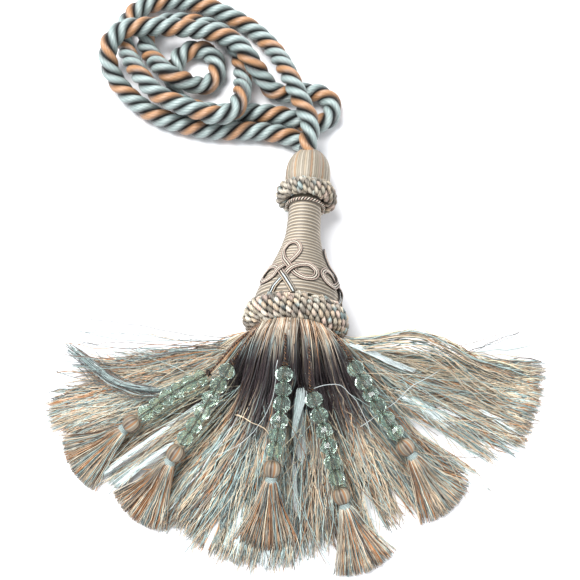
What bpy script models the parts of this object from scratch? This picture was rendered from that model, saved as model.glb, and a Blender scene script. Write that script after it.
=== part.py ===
"""A curtain tieback tassel, lying on a table with its rope in a loose coil.

All sizes are in millimetres in the tables below and become metres through MM. +X is to the
right, +Y points from the fringe to the rope and +Z is up, with the table's top at z = 0.
"""

import math

import bmesh
import bpy
import numpy as np
from mathutils import Matrix, Vector

MM = 0.001
CURVE_STEPS = 12
MERGE_DISTANCE = 0.01
SHARP_ANGLE = math.radians(50.0)

# Everything is laid out around the fan of the fringe and then moved by this much, which puts
# the middle of the tassel's own box over the origin.
LAYOUT_SHIFT = (-2.5, 34.0, 0.0)

# The tassel's axis runs from the lower ruff to the head.
RUFF_CENTRE = (3.0, -22.0, 28.75)
AXIS_LEAN = math.radians(4.7)
AXIS_DROP = math.radians(8.1)

# Turned pieces: a row for each turn of the outline, as (place along the axis, radius).
HEAD_OUTLINE = (
    (82.3, 0.0), (82.3, 11.6), (84.6, 12.6), (88.6, 12.9), (93.6, 12.7),
    (98.6, 11.5), (102.6, 9.1), (105.2, 5.9), (106.6, 2.9), (106.9, 0.0),
)
HEAD_RIBS = 14
HEAD_RIB_HEIGHT = 0.2
MOLD_OUTLINE = (
    (-7.6, 0.0), (-7.6, 13.5), (8.0, 13.5), (8.7, 22.5), (10.8, 23.2), (15.0, 22.2), (20.0, 20.4),
    (26.0, 18.0), (32.0, 15.7), (38.0, 13.4), (44.0, 11.5), (50.0, 10.1), (58.0, 9.5),
    (70.6, 9.1), (71.0, 8.4), (81.9, 8.4), (81.9, 0.0),
)
MOLD_SIDES = 24

# Rings: radius of the ring, half its depth and half its height, and where it sits.
UPPER_RUFF_PLACE = 76.3
UPPER_RUFF_RADIUS = 13.6
UPPER_RUFF_HALF_DEPTH = 3.7
UPPER_RUFF_HALF_HEIGHT = 5.2
UPPER_RUFF_LOOPS = 26
UPPER_RUFF_LOOP_HEIGHT = 0.45
UPPER_RUFF_SLANT_LOOPS = 2
UPPER_RUFF_ROWS = 8
LOWER_RUFF_RADIUS = 21.5
LOWER_RUFF_HALF_DEPTH = 6.6
LOWER_RUFF_HALF_HEIGHT = 7.2
LOWER_RUFF_KNOBS = 36
LOWER_RUFF_KNOB_HEIGHT = 0.65
LOWER_RUFF_ROWS = 10
NECK_CORD_PLACE = 69.5
NECK_CORD_RADIUS = 10.4
NECK_CORD_THICKNESS = 1.8
NECK_CORD_ROWS = 4

# Scrolls: a band of three cords comes up from the lip, makes a right, a top and a left loop
# and goes back down. The rows run from a foot to the middle of the top loop, as (across,
# along, lifted on the way out, lifted on the mirrored way back).
SCROLL_ANGLES = (-21.0, 83.0, 210.0)
SCROLL_PLACE = 23.7
SCROLL_RADIUS = 19.7
SCROLL_HALF = (
    (-4.6, -14.2, 0, 0), (-2.6, -10.6, 0, 0), (0.0, -6.2, 0, 1), (3.2, -1.9, 1, 0),
    (7.5, 1.4, 0, 0), (12.5, 1.9, 0, 0), (16.0, -1.8, 0, 0), (14.3, -6.2, 0, 0),
    (10.0, -7.4, 0, 0), (6.2, -5.4, 0, 0), (3.2, -1.9, 0, 1), (0.0, 2.4, 1, 0),
    (-4.0, 7.4, 0, 0), (-6.3, 12.5, 0, 0), (-4.0, 16.6, 0, 0), (0.0, 17.8, 0, 0),
)
SCROLL_BAND_WIDTH = 2.6
SCROLL_BAND_THICKNESS = 0.8
SCROLL_CROSSING_LIFT = 1.6
SCROLL_STEP = 3.2

# The fringe's heading, as (place along the axis, radius), from its back to its front.
HEADING_OUTLINE = (
    (-8.5, 0.0), (-8.5, 22.4), (-9.6, 23.4), (-11.6, 21.5), (-13.0, 19.0), (-13.8, 16.3),
    (-14.3, 13.6), (-14.6, 10.8), (-14.8, 8.0), (-14.9, 5.0), (-14.95, 0.0),
)
HEADING_SIDES = 40
# Rows of the heading that carry locks, and the step between the locks of a row.
HEADING_LOCK_ROWS = {2: 2, 3: 2, 4: 2, 5: 4, 6: 4, 7: 4, 8: 4}
FACE_MATCH = 0.2
FAN_CENTRE = (3.0, -29.0)
# The pile's height at each stage of the way out: (distance from the fan's centre, height).
FAN_PILE = ((38.0, 29.0), (56.0, 20.0), (85.0, 10.0))
# The fan's reach in each direction, clockwise from +X: (angle, reach).
FAN_REACH = (
    (2.0, 134.0), (13.0, 137.0), (23.0, 133.0), (31.0, 124.0), (42.0, 110.0), (62.0, 109.0),
    (76.0, 109.0), (88.0, 117.0), (107.0, 120.0), (121.0, 118.0), (133.0, 121.0),
    (146.0, 127.0), (158.0, 134.0), (167.0, 140.0), (176.0, 133.0),
)
FAN_FIRST_ANGLE = 4.0
FAN_LAST_ANGLE = 175.0
# A lock's width and height at each stage of its way out.
LOCK_SECTIONS = ((2.2, 1.9), (2.1, 1.8), (1.9, 1.7), (1.7, 1.4), (1.6, 1.4))
LOCK_LEVEL_LENGTH = 14.0
LOCK_RAGGEDNESS = 5.0
# Loose locks that leave the pile: the lock's slot, and the (angle, distance, height) of each
# stage after its root. The first three rise over the right side, the last curls at the left.
LOOSE_LOCKS = {
    1: ((4.0, 38.0, 25.0), (-0.5, 62.0, 27.0), (2.0, 86.0, 18.0),
        (6.6, 119.0, 0.7), (6.6, 133.0, 0.7)),
    3: ((1.0, 38.0, 29.0), (-3.5, 64.0, 31.0), (0.5, 90.0, 21.0),
        (10.0, 122.4, 0.7), (10.0, 136.4, 0.7)),
    8: ((6.0, 38.0, 31.0), (2.5, 60.0, 33.0), (6.0, 88.0, 24.0),
        (18.5, 119.0, 0.7), (18.5, 133.0, 0.7)),
    98: ((171.0, 38.0, 27.5), (166.0, 62.0, 20.5), (163.5, 90.0, 13.5),
         (171.0, 107.0, 8.0), (179.5, 123.0, 0.7)),
}
# Neighbours take turns in layers, so that each lock lies clear of those beside it. At the
# sides of the fan the lowest layer starts this share of the pile above the table.
FAN_LAYERS = (0, 3, 1, 4, 2)
FAN_SIDE_LOW = 0.15

# Beaded strings: the angle of the thread on the ruff, then plan points of the first bead, a
# bend, and the small tassel's head, then the plan angle of its skirt, clockwise from +X.
STRINGS = (
    {"ruff": -63.0, "first": (-44.0, -50.5), "bend": (-60.5, -58.5), "head": (-83.5, -73.5), "skirt": 146.0},
    {"ruff": -50.0, "first": (-30.5, -46.5), "bend": (-42.5, -65.0), "head": (-60.5, -90.5), "skirt": 124.0},
    {"ruff": -12.0, "first": (-2.6, -49.0), "bend": (-4.2, -68.0), "head": (-9.4, -97.0), "skirt": 94.0},
    {"ruff": 16.0, "first": (10.8, -61.0), "bend": (18.0, -81.0), "head": (26.0, -110.5), "skirt": 69.0},
    {"ruff": 52.0, "first": (31.5, -45.5), "bend": (41.5, -61.5), "head": (59.5, -86.0), "skirt": 51.0},
)
BEADS_PER_STRING = 6
BEAD_RADIUS = 4.5
BEAD_WAIST_RADIUS = 1.3
BEAD_SIDES = 8
BEAD_SHOULDER = 0.27
THREAD_RADIUS = 0.8
THREAD_BOW = Vector((0.0, 0.0, 4.0))
THREAD_BOW_SHARE = 0.4
KNOT_RADIUS = 1.7
# How far before the first bead the knot starts, is widest and ends.
KNOT_PLACES = (3.2, 1.8, 0.6)
STRING_RUFF_RADIUS = 25.0
STRING_RUFF_PLACE = -8.4
STRING_STEP = 2.0
# The string's line ends this share of a bead past the last one.
STRING_PAST_BEADS = 0.62
TAUT_PASSES = 200
REST_GAP = 0.8

# Small tassels: head outline from its top outwards, as (place, radius), then its skirt.
MINI_OUTLINE = (
    (0.0, 0.0), (0.3, 2.4), (2.0, 4.2), (4.4, 4.7), (6.8, 4.1), (8.4, 3.1), (11.6, 3.1),
    (12.6, 3.7), (13.4, 2.5), (13.8, 1.2), (13.8, 0.0),
)
MINI_SIDES = 10
MINI_LOCK_ROWS = {7: 1, 8: 2}
MINI_HEAD_MIDDLE = 4.4
MINI_SKIRT_LENGTH = 35.0
MINI_SKIRT_MIDDLE = 14.0
MINI_HALF_SPREAD = 29.0
MINI_LOCK_SECTIONS = ((1.3, 1.2), (1.6, 1.2))
MINI_LAYERS = (0, 2, 1)
MINI_LAYER_STEP = 1.9
MINI_TILT = math.radians(10.0)
# The head points this share of the way from its string's direction to its skirt's.
MINI_AIM = 0.75
MINI_HEAD_GAP = 0.9
MINI_HUB_BACK = 4.0
MINI_SHELF_REACH = 1.0
MINI_TIP_REACH = 3.5

# The rope: three plies with a left-handed twist.
ROPE_DIAMETER = 11.5
ROPE_VALLEY_RADIUS = 4.0
ROPE_LAY = 26.0
ROPE_STEPS_PER_LAY = 6
ROPE_END_TAPER = 0.86
# The rope's way from the head through the coil and back to the head, as (x, y, z).
ROPE_ROUTE = (
    (10.0, 84.2, 19.9), (11.4, 91.5, 20.0), (11.5, 99.0, 19.8), (8.2, 109.0, 19.6),
    (3.5, 120.5, 19.0), (-1.2, 133.5, 16.2), (-10.0, 153.0, 9.5), (-23.5, 169.5, 6.2),
    (-40.0, 180.0, 6.2), (-56.5, 187.0, 6.2), (-74.5, 189.5, 6.2), (-90.0, 186.5, 6.2),
    (-100.0, 177.5, 6.2), (-103.5, 164.5, 6.2), (-99.5, 151.0, 9.0), (-94.2, 140.0, 14.0),
    (-88.2, 129.5, 18.2), (-79.5, 119.2, 18.7), (-68.0, 112.5, 18.7), (-55.0, 107.5, 18.7),
    (-43.0, 104.0, 18.7), (-33.5, 106.5, 19.2), (-29.0, 117.5, 16.8), (-28.8, 131.5, 9.5),
    (-30.0, 145.5, 6.4), (-34.0, 157.0, 6.4), (-42.0, 166.5, 6.4), (-55.0, 172.5, 6.4),
    (-70.0, 174.5, 6.4), (-82.0, 172.5, 6.4), (-89.0, 165.5, 6.4), (-88.3, 156.0, 6.4),
    (-82.8, 146.2, 10.5), (-77.8, 137.5, 16.5), (-71.0, 130.5, 18.6), (-63.0, 128.5, 15.2),
    (-55.5, 129.0, 9.0), (-48.5, 132.0, 6.4), (-44.5, 140.0, 6.4), (-46.5, 149.0, 6.4),
    (-53.0, 154.5, 6.4), (-61.5, 154.5, 6.4), (-68.0, 149.5, 6.4), (-71.0, 141.0, 6.4),
    (-71.5, 131.0, 6.4), (-68.5, 121.5, 6.4), (-60.0, 115.9, 6.4), (-48.0, 112.7, 6.4),
    (-33.5, 112.2, 6.4), (-18.0, 112.0, 6.4), (-6.0, 110.5, 6.4), (5.0, 107.0, 6.4),
    (16.0, 104.5, 6.4), (24.0, 109.0, 6.4), (25.5, 118.0, 6.4), (19.0, 124.5, 6.4),
    (8.5, 126.0, 6.4), (-2.0, 124.5, 6.4), (-11.0, 127.0, 7.5), (-17.0, 133.5, 12.5),
    (-23.5, 140.5, 19.0), (-32.0, 152.0, 18.7), (-44.0, 158.5, 18.7), (-60.0, 161.5, 18.7),
    (-75.5, 163.0, 18.7), (-90.0, 163.0, 18.7), (-101.5, 160.5, 19.0), (-109.0, 151.0, 17.8),
    (-109.0, 139.5, 12.5), (-103.5, 130.0, 7.5), (-95.0, 121.0, 6.2), (-85.0, 113.0, 6.2),
    (-74.0, 107.5, 6.2), (-61.0, 103.5, 6.2), (-49.0, 101.0, 6.2), (-36.0, 100.3, 6.2),
    (-24.0, 100.2, 6.2), (-12.0, 99.2, 6.2), (-3.0, 97.0, 6.4), (4.5, 93.5, 6.8),
    (10.0, 89.0, 7.1), (11.9, 83.8, 7.5),
)

# Finishes: base colour, roughness.
FINISHES = {
    "rope_blue": ((0.40, 0.50, 0.48), 0.45),
    "laid_threads": ((0.62, 0.54, 0.42), 0.50),
    "ruff_cord": ((0.50, 0.50, 0.47), 0.60),
    "copper_cord": ((0.62, 0.42, 0.22), 0.45),
    "wrap_cord": ((0.50, 0.42, 0.32), 0.50),
    "scroll_cord": ((0.56, 0.47, 0.36), 0.50),
    "knot_cord": ((0.48, 0.40, 0.32), 0.60),
    "fringe_thread": ((0.42, 0.36, 0.30), 0.55),
    "green_glass": ((0.16, 0.34, 0.26), 0.08),
}


# ---------------------------------------------------------------- scene and mesh helpers

def clear_scene():
    """Remove the objects that the file starts with."""
    for obj in list(bpy.data.objects):
        bpy.data.objects.remove(obj, do_unlink=True)


def finish(name):
    """Return a new material with the named finish."""
    colour, roughness = FINISHES[name]
    material = bpy.data.materials.new(name)
    material.use_nodes = True
    shader = material.node_tree.nodes["Principled BSDF"]
    shader.inputs["Base Color"].default_value = (*colour, 1.0)
    shader.inputs["Roughness"].default_value = roughness
    material.diffuse_color = (*colour, 1.0)
    return material


def add_object(name, bm, finish_name, parent=None):
    """Turn a closed bmesh, built in millimetres, into a named object."""
    bmesh.ops.recalc_face_normals(bm, faces=bm.faces)
    if bm.calc_volume(signed=True) < 0.0:
        bmesh.ops.reverse_faces(bm, faces=bm.faces)
    bmesh.ops.scale(bm, vec=(MM, MM, MM), verts=bm.verts)
    mesh = bpy.data.meshes.new(name)
    bm.to_mesh(mesh)
    bm.free()
    mesh.shade_smooth()
    mesh.set_sharp_from_angle(angle=SHARP_ANGLE)
    mesh.materials.append(finish(finish_name))
    obj = bpy.data.objects.new(name, mesh)
    bpy.context.collection.objects.link(obj)
    obj.parent = parent
    return obj


def add_empty(name, matrix):
    """Add an empty that carries pieces modelled in its own frame."""
    empty = bpy.data.objects.new(name, None)
    bpy.context.collection.objects.link(empty)
    empty.matrix_world = matrix
    return empty


def extrude_through(bm, face, rings):
    """Extrude a face through rings of points, one point for each of its corners."""
    for ring in rings:
        face = bmesh.ops.extrude_discrete_faces(bm, faces=[face])["faces"][0]
        for vert, point in zip(face.verts, ring):
            vert.co = point
    return face


def tube(rings):
    """Make a closed tube through rings of points and return its bmesh."""
    bm = bmesh.new()
    start = [bm.verts.new(point) for point in rings[0]]
    extrude_through(bm, bm.faces.new(start), rings[1:])
    bm.faces.new(list(reversed(start)))
    return bm


def turned(outline, sides, closed=False):
    """Spin an outline of (place, radius) around the Y axis and close its poles."""
    bm = bmesh.new()
    verts = [bm.verts.new((radius, place, 0.0)) for place, radius in outline]
    pairs = list(zip(verts, verts[1:]))
    if closed:
        pairs.append((verts[-1], verts[0]))
    edges = [bm.edges.new(pair) for pair in pairs]
    bmesh.ops.spin(bm, geom=verts + edges, cent=(0.0, 0.0, 0.0), axis=(0.0, 1.0, 0.0),
                   angle=math.tau, steps=sides, use_merge=True, use_duplicate=False)
    bmesh.ops.remove_doubles(bm, verts=bm.verts, dist=MERGE_DISTANCE)
    return bm


def ellipse_outline(place, radius, half_depth, half_height, count):
    """Return the outline of a ring with an elliptical section."""
    turns = [math.tau * i / count for i in range(count)]
    return [(place + half_height * math.sin(t), radius + half_depth * math.cos(t)) for t in turns]


def around(vert):
    """Return a turned vertex's angle around the Y axis, from the spin's start, and its radius."""
    angle = math.atan2(-vert.co.z, vert.co.x)
    return angle, math.hypot(vert.co.x, vert.co.z)


def set_around(vert, angle, radius):
    """Move a turned vertex to an angle and a radius around the Y axis."""
    vert.co.x = radius * math.cos(angle)
    vert.co.z = -radius * math.sin(angle)


def curve_through(points, spacing):
    """Return evenly spaced points on a smooth curve through the given points."""
    knots = [Vector(p) for p in points]
    ends = [2 * knots[0] - knots[1], *knots, 2 * knots[-1] - knots[-2]]
    fine = []
    for before, start, stop, after in zip(ends, ends[1:], ends[2:], ends[3:]):
        for step in range(CURVE_STEPS):
            fine.append(blend_points(before, start, stop, after, step / CURVE_STEPS))
    fine.append(knots[-1])
    fine = np.array(fine)
    travel = np.r_[0.0, np.cumsum(np.linalg.norm(np.diff(fine, axis=0), axis=1))]
    count = max(2, round(travel[-1] / spacing))
    places = np.linspace(0.0, travel[-1], count + 1)
    columns = [np.interp(places, travel, fine[:, axis]) for axis in range(3)]
    return [Vector(p) for p in zip(*columns)], travel[-1]


def blend_points(before, start, stop, after, share):
    """Interpolate a centripetal Catmull-Rom segment between start and stop."""
    t0 = 0.0
    t1 = t0 + math.sqrt((start - before).length)
    t2 = t1 + math.sqrt((stop - start).length)
    t3 = t2 + math.sqrt((after - stop).length)
    t = t1 + share * (t2 - t1)
    a1 = before.lerp(start, (t - t0) / (t1 - t0))
    a2 = start.lerp(stop, (t - t1) / (t2 - t1))
    a3 = stop.lerp(after, (t - t2) / (t3 - t2))
    b1 = a1.lerp(a2, (t - t0) / (t2 - t0))
    b2 = a2.lerp(a3, (t - t1) / (t3 - t1))
    return b1.lerp(b2, (t - t1) / (t2 - t1))


def frames_along(points):
    """Return a tangent, a side and an up direction at each point, with no added twist."""
    frames = []
    up = Vector((0.0, 0.0, 1.0))
    for i, _ in enumerate(points):
        tangent = (points[min(i + 1, len(points) - 1)] - points[max(i - 1, 0)]).normalized()
        up = (up - tangent * up.dot(tangent)).normalized()
        frames.append((tangent, tangent.cross(up), up))
    return frames


def ring_around(centre, side, up, radius, sides, turn=0.0):
    """Return points on a circle around a centre."""
    angles = [turn + math.tau * i / sides for i in range(sides)]
    return [centre + side * (radius * math.cos(a)) + up * (radius * math.sin(a)) for a in angles]


def shifted(point):
    """Move a layout point into the part's own frame."""
    return Vector(point) + Vector(LAYOUT_SHIFT)


def table_value(table, place):
    """Read a two-column table at a place, with straight lines between its rows."""
    places, values = zip(*table)
    return float(np.interp(place, places, values))


# ---------------------------------------------------------------- the tassel's axis

def tassel_matrix():
    """Return the tassel's frame: X across it, Y along its axis to the head, Z up."""
    along = Vector((math.sin(AXIS_LEAN) * math.cos(AXIS_DROP),
                    math.cos(AXIS_LEAN) * math.cos(AXIS_DROP), -math.sin(AXIS_DROP)))
    side = along.cross(Vector((0.0, 0.0, 1.0))).normalized()
    up = side.cross(along)
    matrix = Matrix((side, along, up)).transposed().to_4x4()
    matrix.translation = shifted(RUFF_CENTRE)
    return matrix


def on_axis(place, radius, angle):
    """Return a point around the axis; angle 0 is its top and 90 degrees its right side."""
    local = Vector((radius * math.sin(angle), place, radius * math.cos(angle)))
    return tassel_matrix() @ local


# ---------------------------------------------------------------- turned and ringed pieces

def build_head(axis):
    """Make the domed head with its lengthwise ribs."""
    bm = turned(HEAD_OUTLINE, 2 * HEAD_RIBS)
    for vert in bm.verts:
        angle, radius = around(vert)
        if radius > 1.0:
            set_around(vert, angle, radius + HEAD_RIB_HEIGHT * math.cos(HEAD_RIBS * angle))
    add_object("tassel_head", bm, "laid_threads", axis)


def build_mold(axis):
    """Make the turned neck and flare that carries the ruffs, the wrap and the scrolls."""
    add_object("wrapped_mold", turned(MOLD_OUTLINE, MOLD_SIDES), "wrap_cord", axis)


def build_upper_ruff(axis):
    """Make the ring of slanted fat loops: every second row of points stands proud."""
    outline = ellipse_outline(UPPER_RUFF_PLACE, UPPER_RUFF_RADIUS, UPPER_RUFF_HALF_DEPTH,
                              UPPER_RUFF_HALF_HEIGHT, UPPER_RUFF_ROWS)
    bm = turned(outline, 2 * UPPER_RUFF_LOOPS, closed=True)
    for vert in bm.verts:
        angle, radius = around(vert)
        rise = (vert.co.y - UPPER_RUFF_PLACE) / UPPER_RUFF_HALF_HEIGHT
        out = (radius - UPPER_RUFF_RADIUS) / UPPER_RUFF_HALF_DEPTH
        swell = UPPER_RUFF_LOOP_HEIGHT * math.cos(UPPER_RUFF_LOOPS * angle)
        turn = math.atan2(rise, out) / math.tau
        vert.co.y += swell * rise
        slant = UPPER_RUFF_SLANT_LOOPS * turn * math.tau / UPPER_RUFF_LOOPS
        set_around(vert, angle - slant, radius + swell * out)
    add_object("upper_ruff", bm, "ruff_cord", axis)


def build_lower_ruff(axis):
    """Make the knotted band: every second point of its net stands proud as a knob."""
    outline = ellipse_outline(0.0, LOWER_RUFF_RADIUS, LOWER_RUFF_HALF_DEPTH,
                              LOWER_RUFF_HALF_HEIGHT, LOWER_RUFF_ROWS)
    bm = turned(outline, 2 * LOWER_RUFF_KNOBS, closed=True)
    for vert in bm.verts:
        angle, radius = around(vert)
        rise = vert.co.y / LOWER_RUFF_HALF_HEIGHT
        out = (radius - LOWER_RUFF_RADIUS) / LOWER_RUFF_HALF_DEPTH
        row = round(math.atan2(rise, out) / math.tau * LOWER_RUFF_ROWS)
        column = round(angle / math.tau * 2 * LOWER_RUFF_KNOBS)
        swell = LOWER_RUFF_KNOB_HEIGHT * (1.0 if (row + column) % 2 == 0 else -1.0)
        vert.co.y += swell * rise
        set_around(vert, angle, radius + swell * out)
    add_object("lower_ruff", bm, "knot_cord", axis)


def build_neck_cord(axis):
    """Make the thin ring under the upper ruff."""
    half = NECK_CORD_THICKNESS / 2
    outline = ellipse_outline(NECK_CORD_PLACE, NECK_CORD_RADIUS, half, half, NECK_CORD_ROWS)
    add_object("neck_cord", turned(outline, MOLD_SIDES, closed=True), "copper_cord", axis)


# ---------------------------------------------------------------- scrolls

def scroll_path():
    """Return the middle line of a scroll's band on the flare, as (across, along, lift)."""
    way_out = [(across, along, lift) for across, along, lift, _ in SCROLL_HALF]
    way_back = [(-across, along, lift) for across, along, _, lift in reversed(SCROLL_HALF[:-1])]
    rows = [(x, y, lift * SCROLL_CROSSING_LIFT) for x, y, lift in way_out + way_back]
    points, _ = curve_through(rows, SCROLL_STEP)
    return points


def on_flare(across, along, height, middle_angle):
    """Return a point over the mold's surface in the tassel's frame."""
    place = SCROLL_PLACE + along
    radius = table_value(MOLD_OUTLINE[4:13], place) + height
    angle = math.radians(middle_angle) + across / SCROLL_RADIUS
    return Vector((radius * math.sin(angle), place, radius * math.cos(angle)))


def build_scrolls(axis):
    """Lay the looped bands around the flare."""
    path = scroll_path()
    half_width = SCROLL_BAND_WIDTH / 2
    for number, middle_angle in enumerate(SCROLL_ANGLES, start=1):
        rings = []
        for i, point in enumerate(path):
            way = path[min(i + 1, len(path) - 1)] - path[max(i - 1, 0)]
            way = Vector((way.x, way.y)).normalized()
            low = REST_GAP + max(0.0, point.z)
            high = low + SCROLL_BAND_THICKNESS
            corners = ((half_width, low), (-half_width, low), (-half_width, high), (half_width, high))
            rings.append([on_flare(point.x - way.y * w, point.y + way.x * w, h, middle_angle)
                          for w, h in corners])
        add_object(f"scroll_{number}", tube(rings), "scroll_cord", axis)


# ---------------------------------------------------------------- fringe

def lock_faces(bm, outline, sides, rows, matrix):
    """Return the heading's faces that carry locks, a row and a step at a time."""
    inverse = matrix.inverted()
    chosen = []
    for face in bm.faces:
        local = inverse @ face.calc_center_median()
        radius = math.hypot(local.x, local.z)
        for row, step in rows.items():
            (place_a, radius_a), (place_b, radius_b) = outline[row], outline[row + 1]
            middle = (radius_a + radius_b) / 2 * math.cos(math.pi / sides)
            place = (place_a + place_b) / 2
            if abs(radius - middle) < FACE_MATCH and abs(local.y - place) < FACE_MATCH:
                column = math.floor(math.atan2(-local.z, local.x) / math.tau * sides)
                if (column + (row % 2) * (step // 2)) % step == 0:
                    chosen.append(face)
    return chosen


def section(centre, way, width, height, corners):
    """Return a lock's cross-section, level across, in the order of the root's corners."""
    side = way.cross(Vector((0.0, 0.0, 1.0))).normalized() * (width / 2)
    up = Vector((0.0, 0.0, height / 2))
    places = ((1, 1), (-1, 1), (-1, -1), (1, -1))
    return [centre + side * places[c][0] + up * places[c][1] for c in corners]


def corner_order(face, way):
    """Say which corner of a level section each root corner runs to, with the least twist."""
    centre = face.calc_center_median()
    side = way.cross(Vector((0.0, 0.0, 1.0))).normalized()
    up = side.cross(way)
    turns = [math.atan2((v.co - centre).dot(up), (v.co - centre).dot(side)) for v in face.verts]
    order = sorted(range(4), key=lambda i: turns[i] % math.tau)
    best = None
    for shift in range(4):
        corners = [0] * 4
        cost = 0.0
        for rank, index in enumerate(order):
            corners[index] = (rank + shift) % 4
            aim = math.radians(45.0 + 90.0 * corners[index])
            cost += 1.0 - math.cos(turns[index] - aim)
        if best is None or cost < best[0]:
            best = (cost, corners)
    return best[1]


def grow_lock(bm, face, path, sizes):
    """Extrude one lock from its root face along a path."""
    corners = corner_order(face, (path[1] - path[0]).normalized())
    rings = []
    for i, (width, height) in enumerate(sizes):
        way = path[i + 1] - path[i]
        if i + 2 < len(path):
            way = way.normalized() + (path[i + 2] - path[i + 1]).normalized()
        level = Vector((way.x, way.y, 0.0)).normalized()
        rings.append(section(path[i + 1], level, width, height, corners))
    extrude_through(bm, face, rings)


def fan_point(angle, distance):
    """Return a plan point of the fan, by its angle clockwise from +X."""
    turn = math.radians(angle)
    centre = shifted((*FAN_CENTRE, 0.0))
    return centre + Vector((distance * math.cos(turn), -distance * math.sin(turn), 0.0))


def fan_lock_path(root, slot, angle, reach, layer):
    """Lead a lock out from its root: it keeps its layer in the pile as the pile gets flat."""
    low = FAN_SIDE_LOW * abs(math.cos(math.radians(angle)))
    share = low + (1.0 - low) * layer / (len(FAN_LAYERS) - 1)
    stages = LOOSE_LOCKS.get(slot)
    if stages is None:
        level = LOCK_SECTIONS[-1][1] / 2
        stages = [(angle, distance, thickness / 2 + share * (pile - thickness))
                  for (distance, pile), (_, thickness) in zip(FAN_PILE, LOCK_SECTIONS)]
        stages += [(angle, reach - LOCK_LEVEL_LENGTH, level), (angle, reach, level)]
    path = [root]
    for stage_angle, distance, height in stages:
        point = fan_point(stage_angle, distance)
        point.z = height
        path.append(point)
    return path


def layered_slots(roots, across, layers):
    """Give each root a slot from side to side: in each group the lowest root gets layer 0."""
    order = sorted(range(len(roots)), key=lambda i: across(roots[i]))
    slots = []
    for start in range(0, len(order), len(layers)):
        group = sorted(order[start:start + len(layers)], key=lambda i: roots[i].z)
        used = sorted(layers[:len(group)])
        slots += [(start + layers.index(layer), layer, index) for layer, index in zip(used, group)]
    return slots


def build_skirt():
    """Make the fringe: locks that grow from the heading's face and spread over the table."""
    matrix = tassel_matrix()
    bm = turned(HEADING_OUTLINE, HEADING_SIDES)
    bmesh.ops.transform(bm, matrix=matrix, verts=bm.verts)
    faces = lock_faces(bm, HEADING_OUTLINE, HEADING_SIDES, HEADING_LOCK_ROWS, matrix)
    roots = [face.calc_center_median() for face in faces]
    slots = layered_slots(roots, lambda root: -root.x, FAN_LAYERS)
    rng = np.random.default_rng(11)
    paths = []
    for slot, layer, index in slots:
        angle = FAN_FIRST_ANGLE + (FAN_LAST_ANGLE - FAN_FIRST_ANGLE) * (slot + 0.5) / len(slots)
        reach = table_value(FAN_REACH, angle) - LOCK_RAGGEDNESS * rng.random()
        paths.append(fan_lock_path(roots[index], slot, angle, reach, layer))
        grow_lock(bm, faces[index], paths[-1], LOCK_SECTIONS)
    add_object("skirt_fringe", bm, "fringe_thread")
    return paths


def pile_top(paths, point, reach):
    """Return the top of the locks that pass within reach of a plan point."""
    top = 0.0
    here = Vector((point.x, point.y))
    for path in paths:
        for start, stop in zip(path, path[1:]):
            a, b = Vector((start.x, start.y)), Vector((stop.x, stop.y))
            way = b - a
            share = min(1.0, max(0.0, (here - a).dot(way) / way.length_squared))
            if (a + way * share - here).length < reach + LOCK_SECTIONS[0][0] / 2:
                slack = min(0.5, reach / way.length)
                high = max(start.z + (stop.z - start.z) * min(1.0, max(0.0, share + s))
                           for s in (-slack, 0.0, slack))
                top = max(top, high + LOCK_SECTIONS[0][1] / 2)
    return top


# ---------------------------------------------------------------- beaded strings, small tassels

def taut_over(needed):
    """Lay a taut line over the heights it has to clear."""
    heights = list(needed)
    for _ in range(TAUT_PASSES):
        for i in range(1, len(heights) - 1):
            heights[i] = max(needed[i], (heights[i - 1] + heights[i + 1]) / 2)
    return heights


def bead_rings(points, frames):
    """Return the rings of a row of beads between waists, with the places of the waists given."""
    rings = []
    for i in range(BEADS_PER_STRING):
        start, stop = points[i], points[i + 1]
        _, side, up = frames[i]
        rings.append(ring_around(start, side, up, BEAD_WAIST_RADIUS, BEAD_SIDES))
        for share in (BEAD_SHOULDER, 1.0 - BEAD_SHOULDER):
            rings.append(ring_around(start.lerp(stop, share), side, up, BEAD_RADIUS, BEAD_SIDES))
    return rings


def build_string(number, row, paths):
    """Make one beaded string over the pile and return where its small tassel's head starts."""
    ends = [shifted((*row[key], 0.0)) for key in ("first", "bend", "head")]
    plan, _ = curve_through(ends, STRING_STEP)
    step = (len(plan) - 1) / (BEADS_PER_STRING + STRING_PAST_BEADS)
    places = [plan[round(step * i)] for i in range(BEADS_PER_STRING + 1)]
    needed = [pile_top(paths, p, BEAD_RADIUS) + BEAD_RADIUS + REST_GAP for p in places]
    for point, height in zip(places, taut_over(needed)):
        point.z = height
    frames = frames_along(places)
    root = on_axis(STRING_RUFF_PLACE, STRING_RUFF_RADIUS, math.radians(row["ruff"]))
    first = places[0]
    thread = [root, root.lerp(first, THREAD_BOW_SHARE) + THREAD_BOW]
    thread += [first - frames[0][0] * place for place in KNOT_PLACES]
    radii = (THREAD_RADIUS, THREAD_RADIUS, THREAD_RADIUS, KNOT_RADIUS, THREAD_RADIUS)
    rings = [ring_around(point, side, up, radius, BEAD_SIDES)
             for point, (_, side, up), radius in zip(thread, frames_along(thread), radii)]
    rings += bead_rings(places, frames)
    _, side, up = frames[-1]
    rings.append(ring_around(places[-1], side, up, BEAD_WAIST_RADIUS, BEAD_SIDES))
    add_object(f"bead_string_{number}", tube(rings), "green_glass")
    return places[-1]


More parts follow.
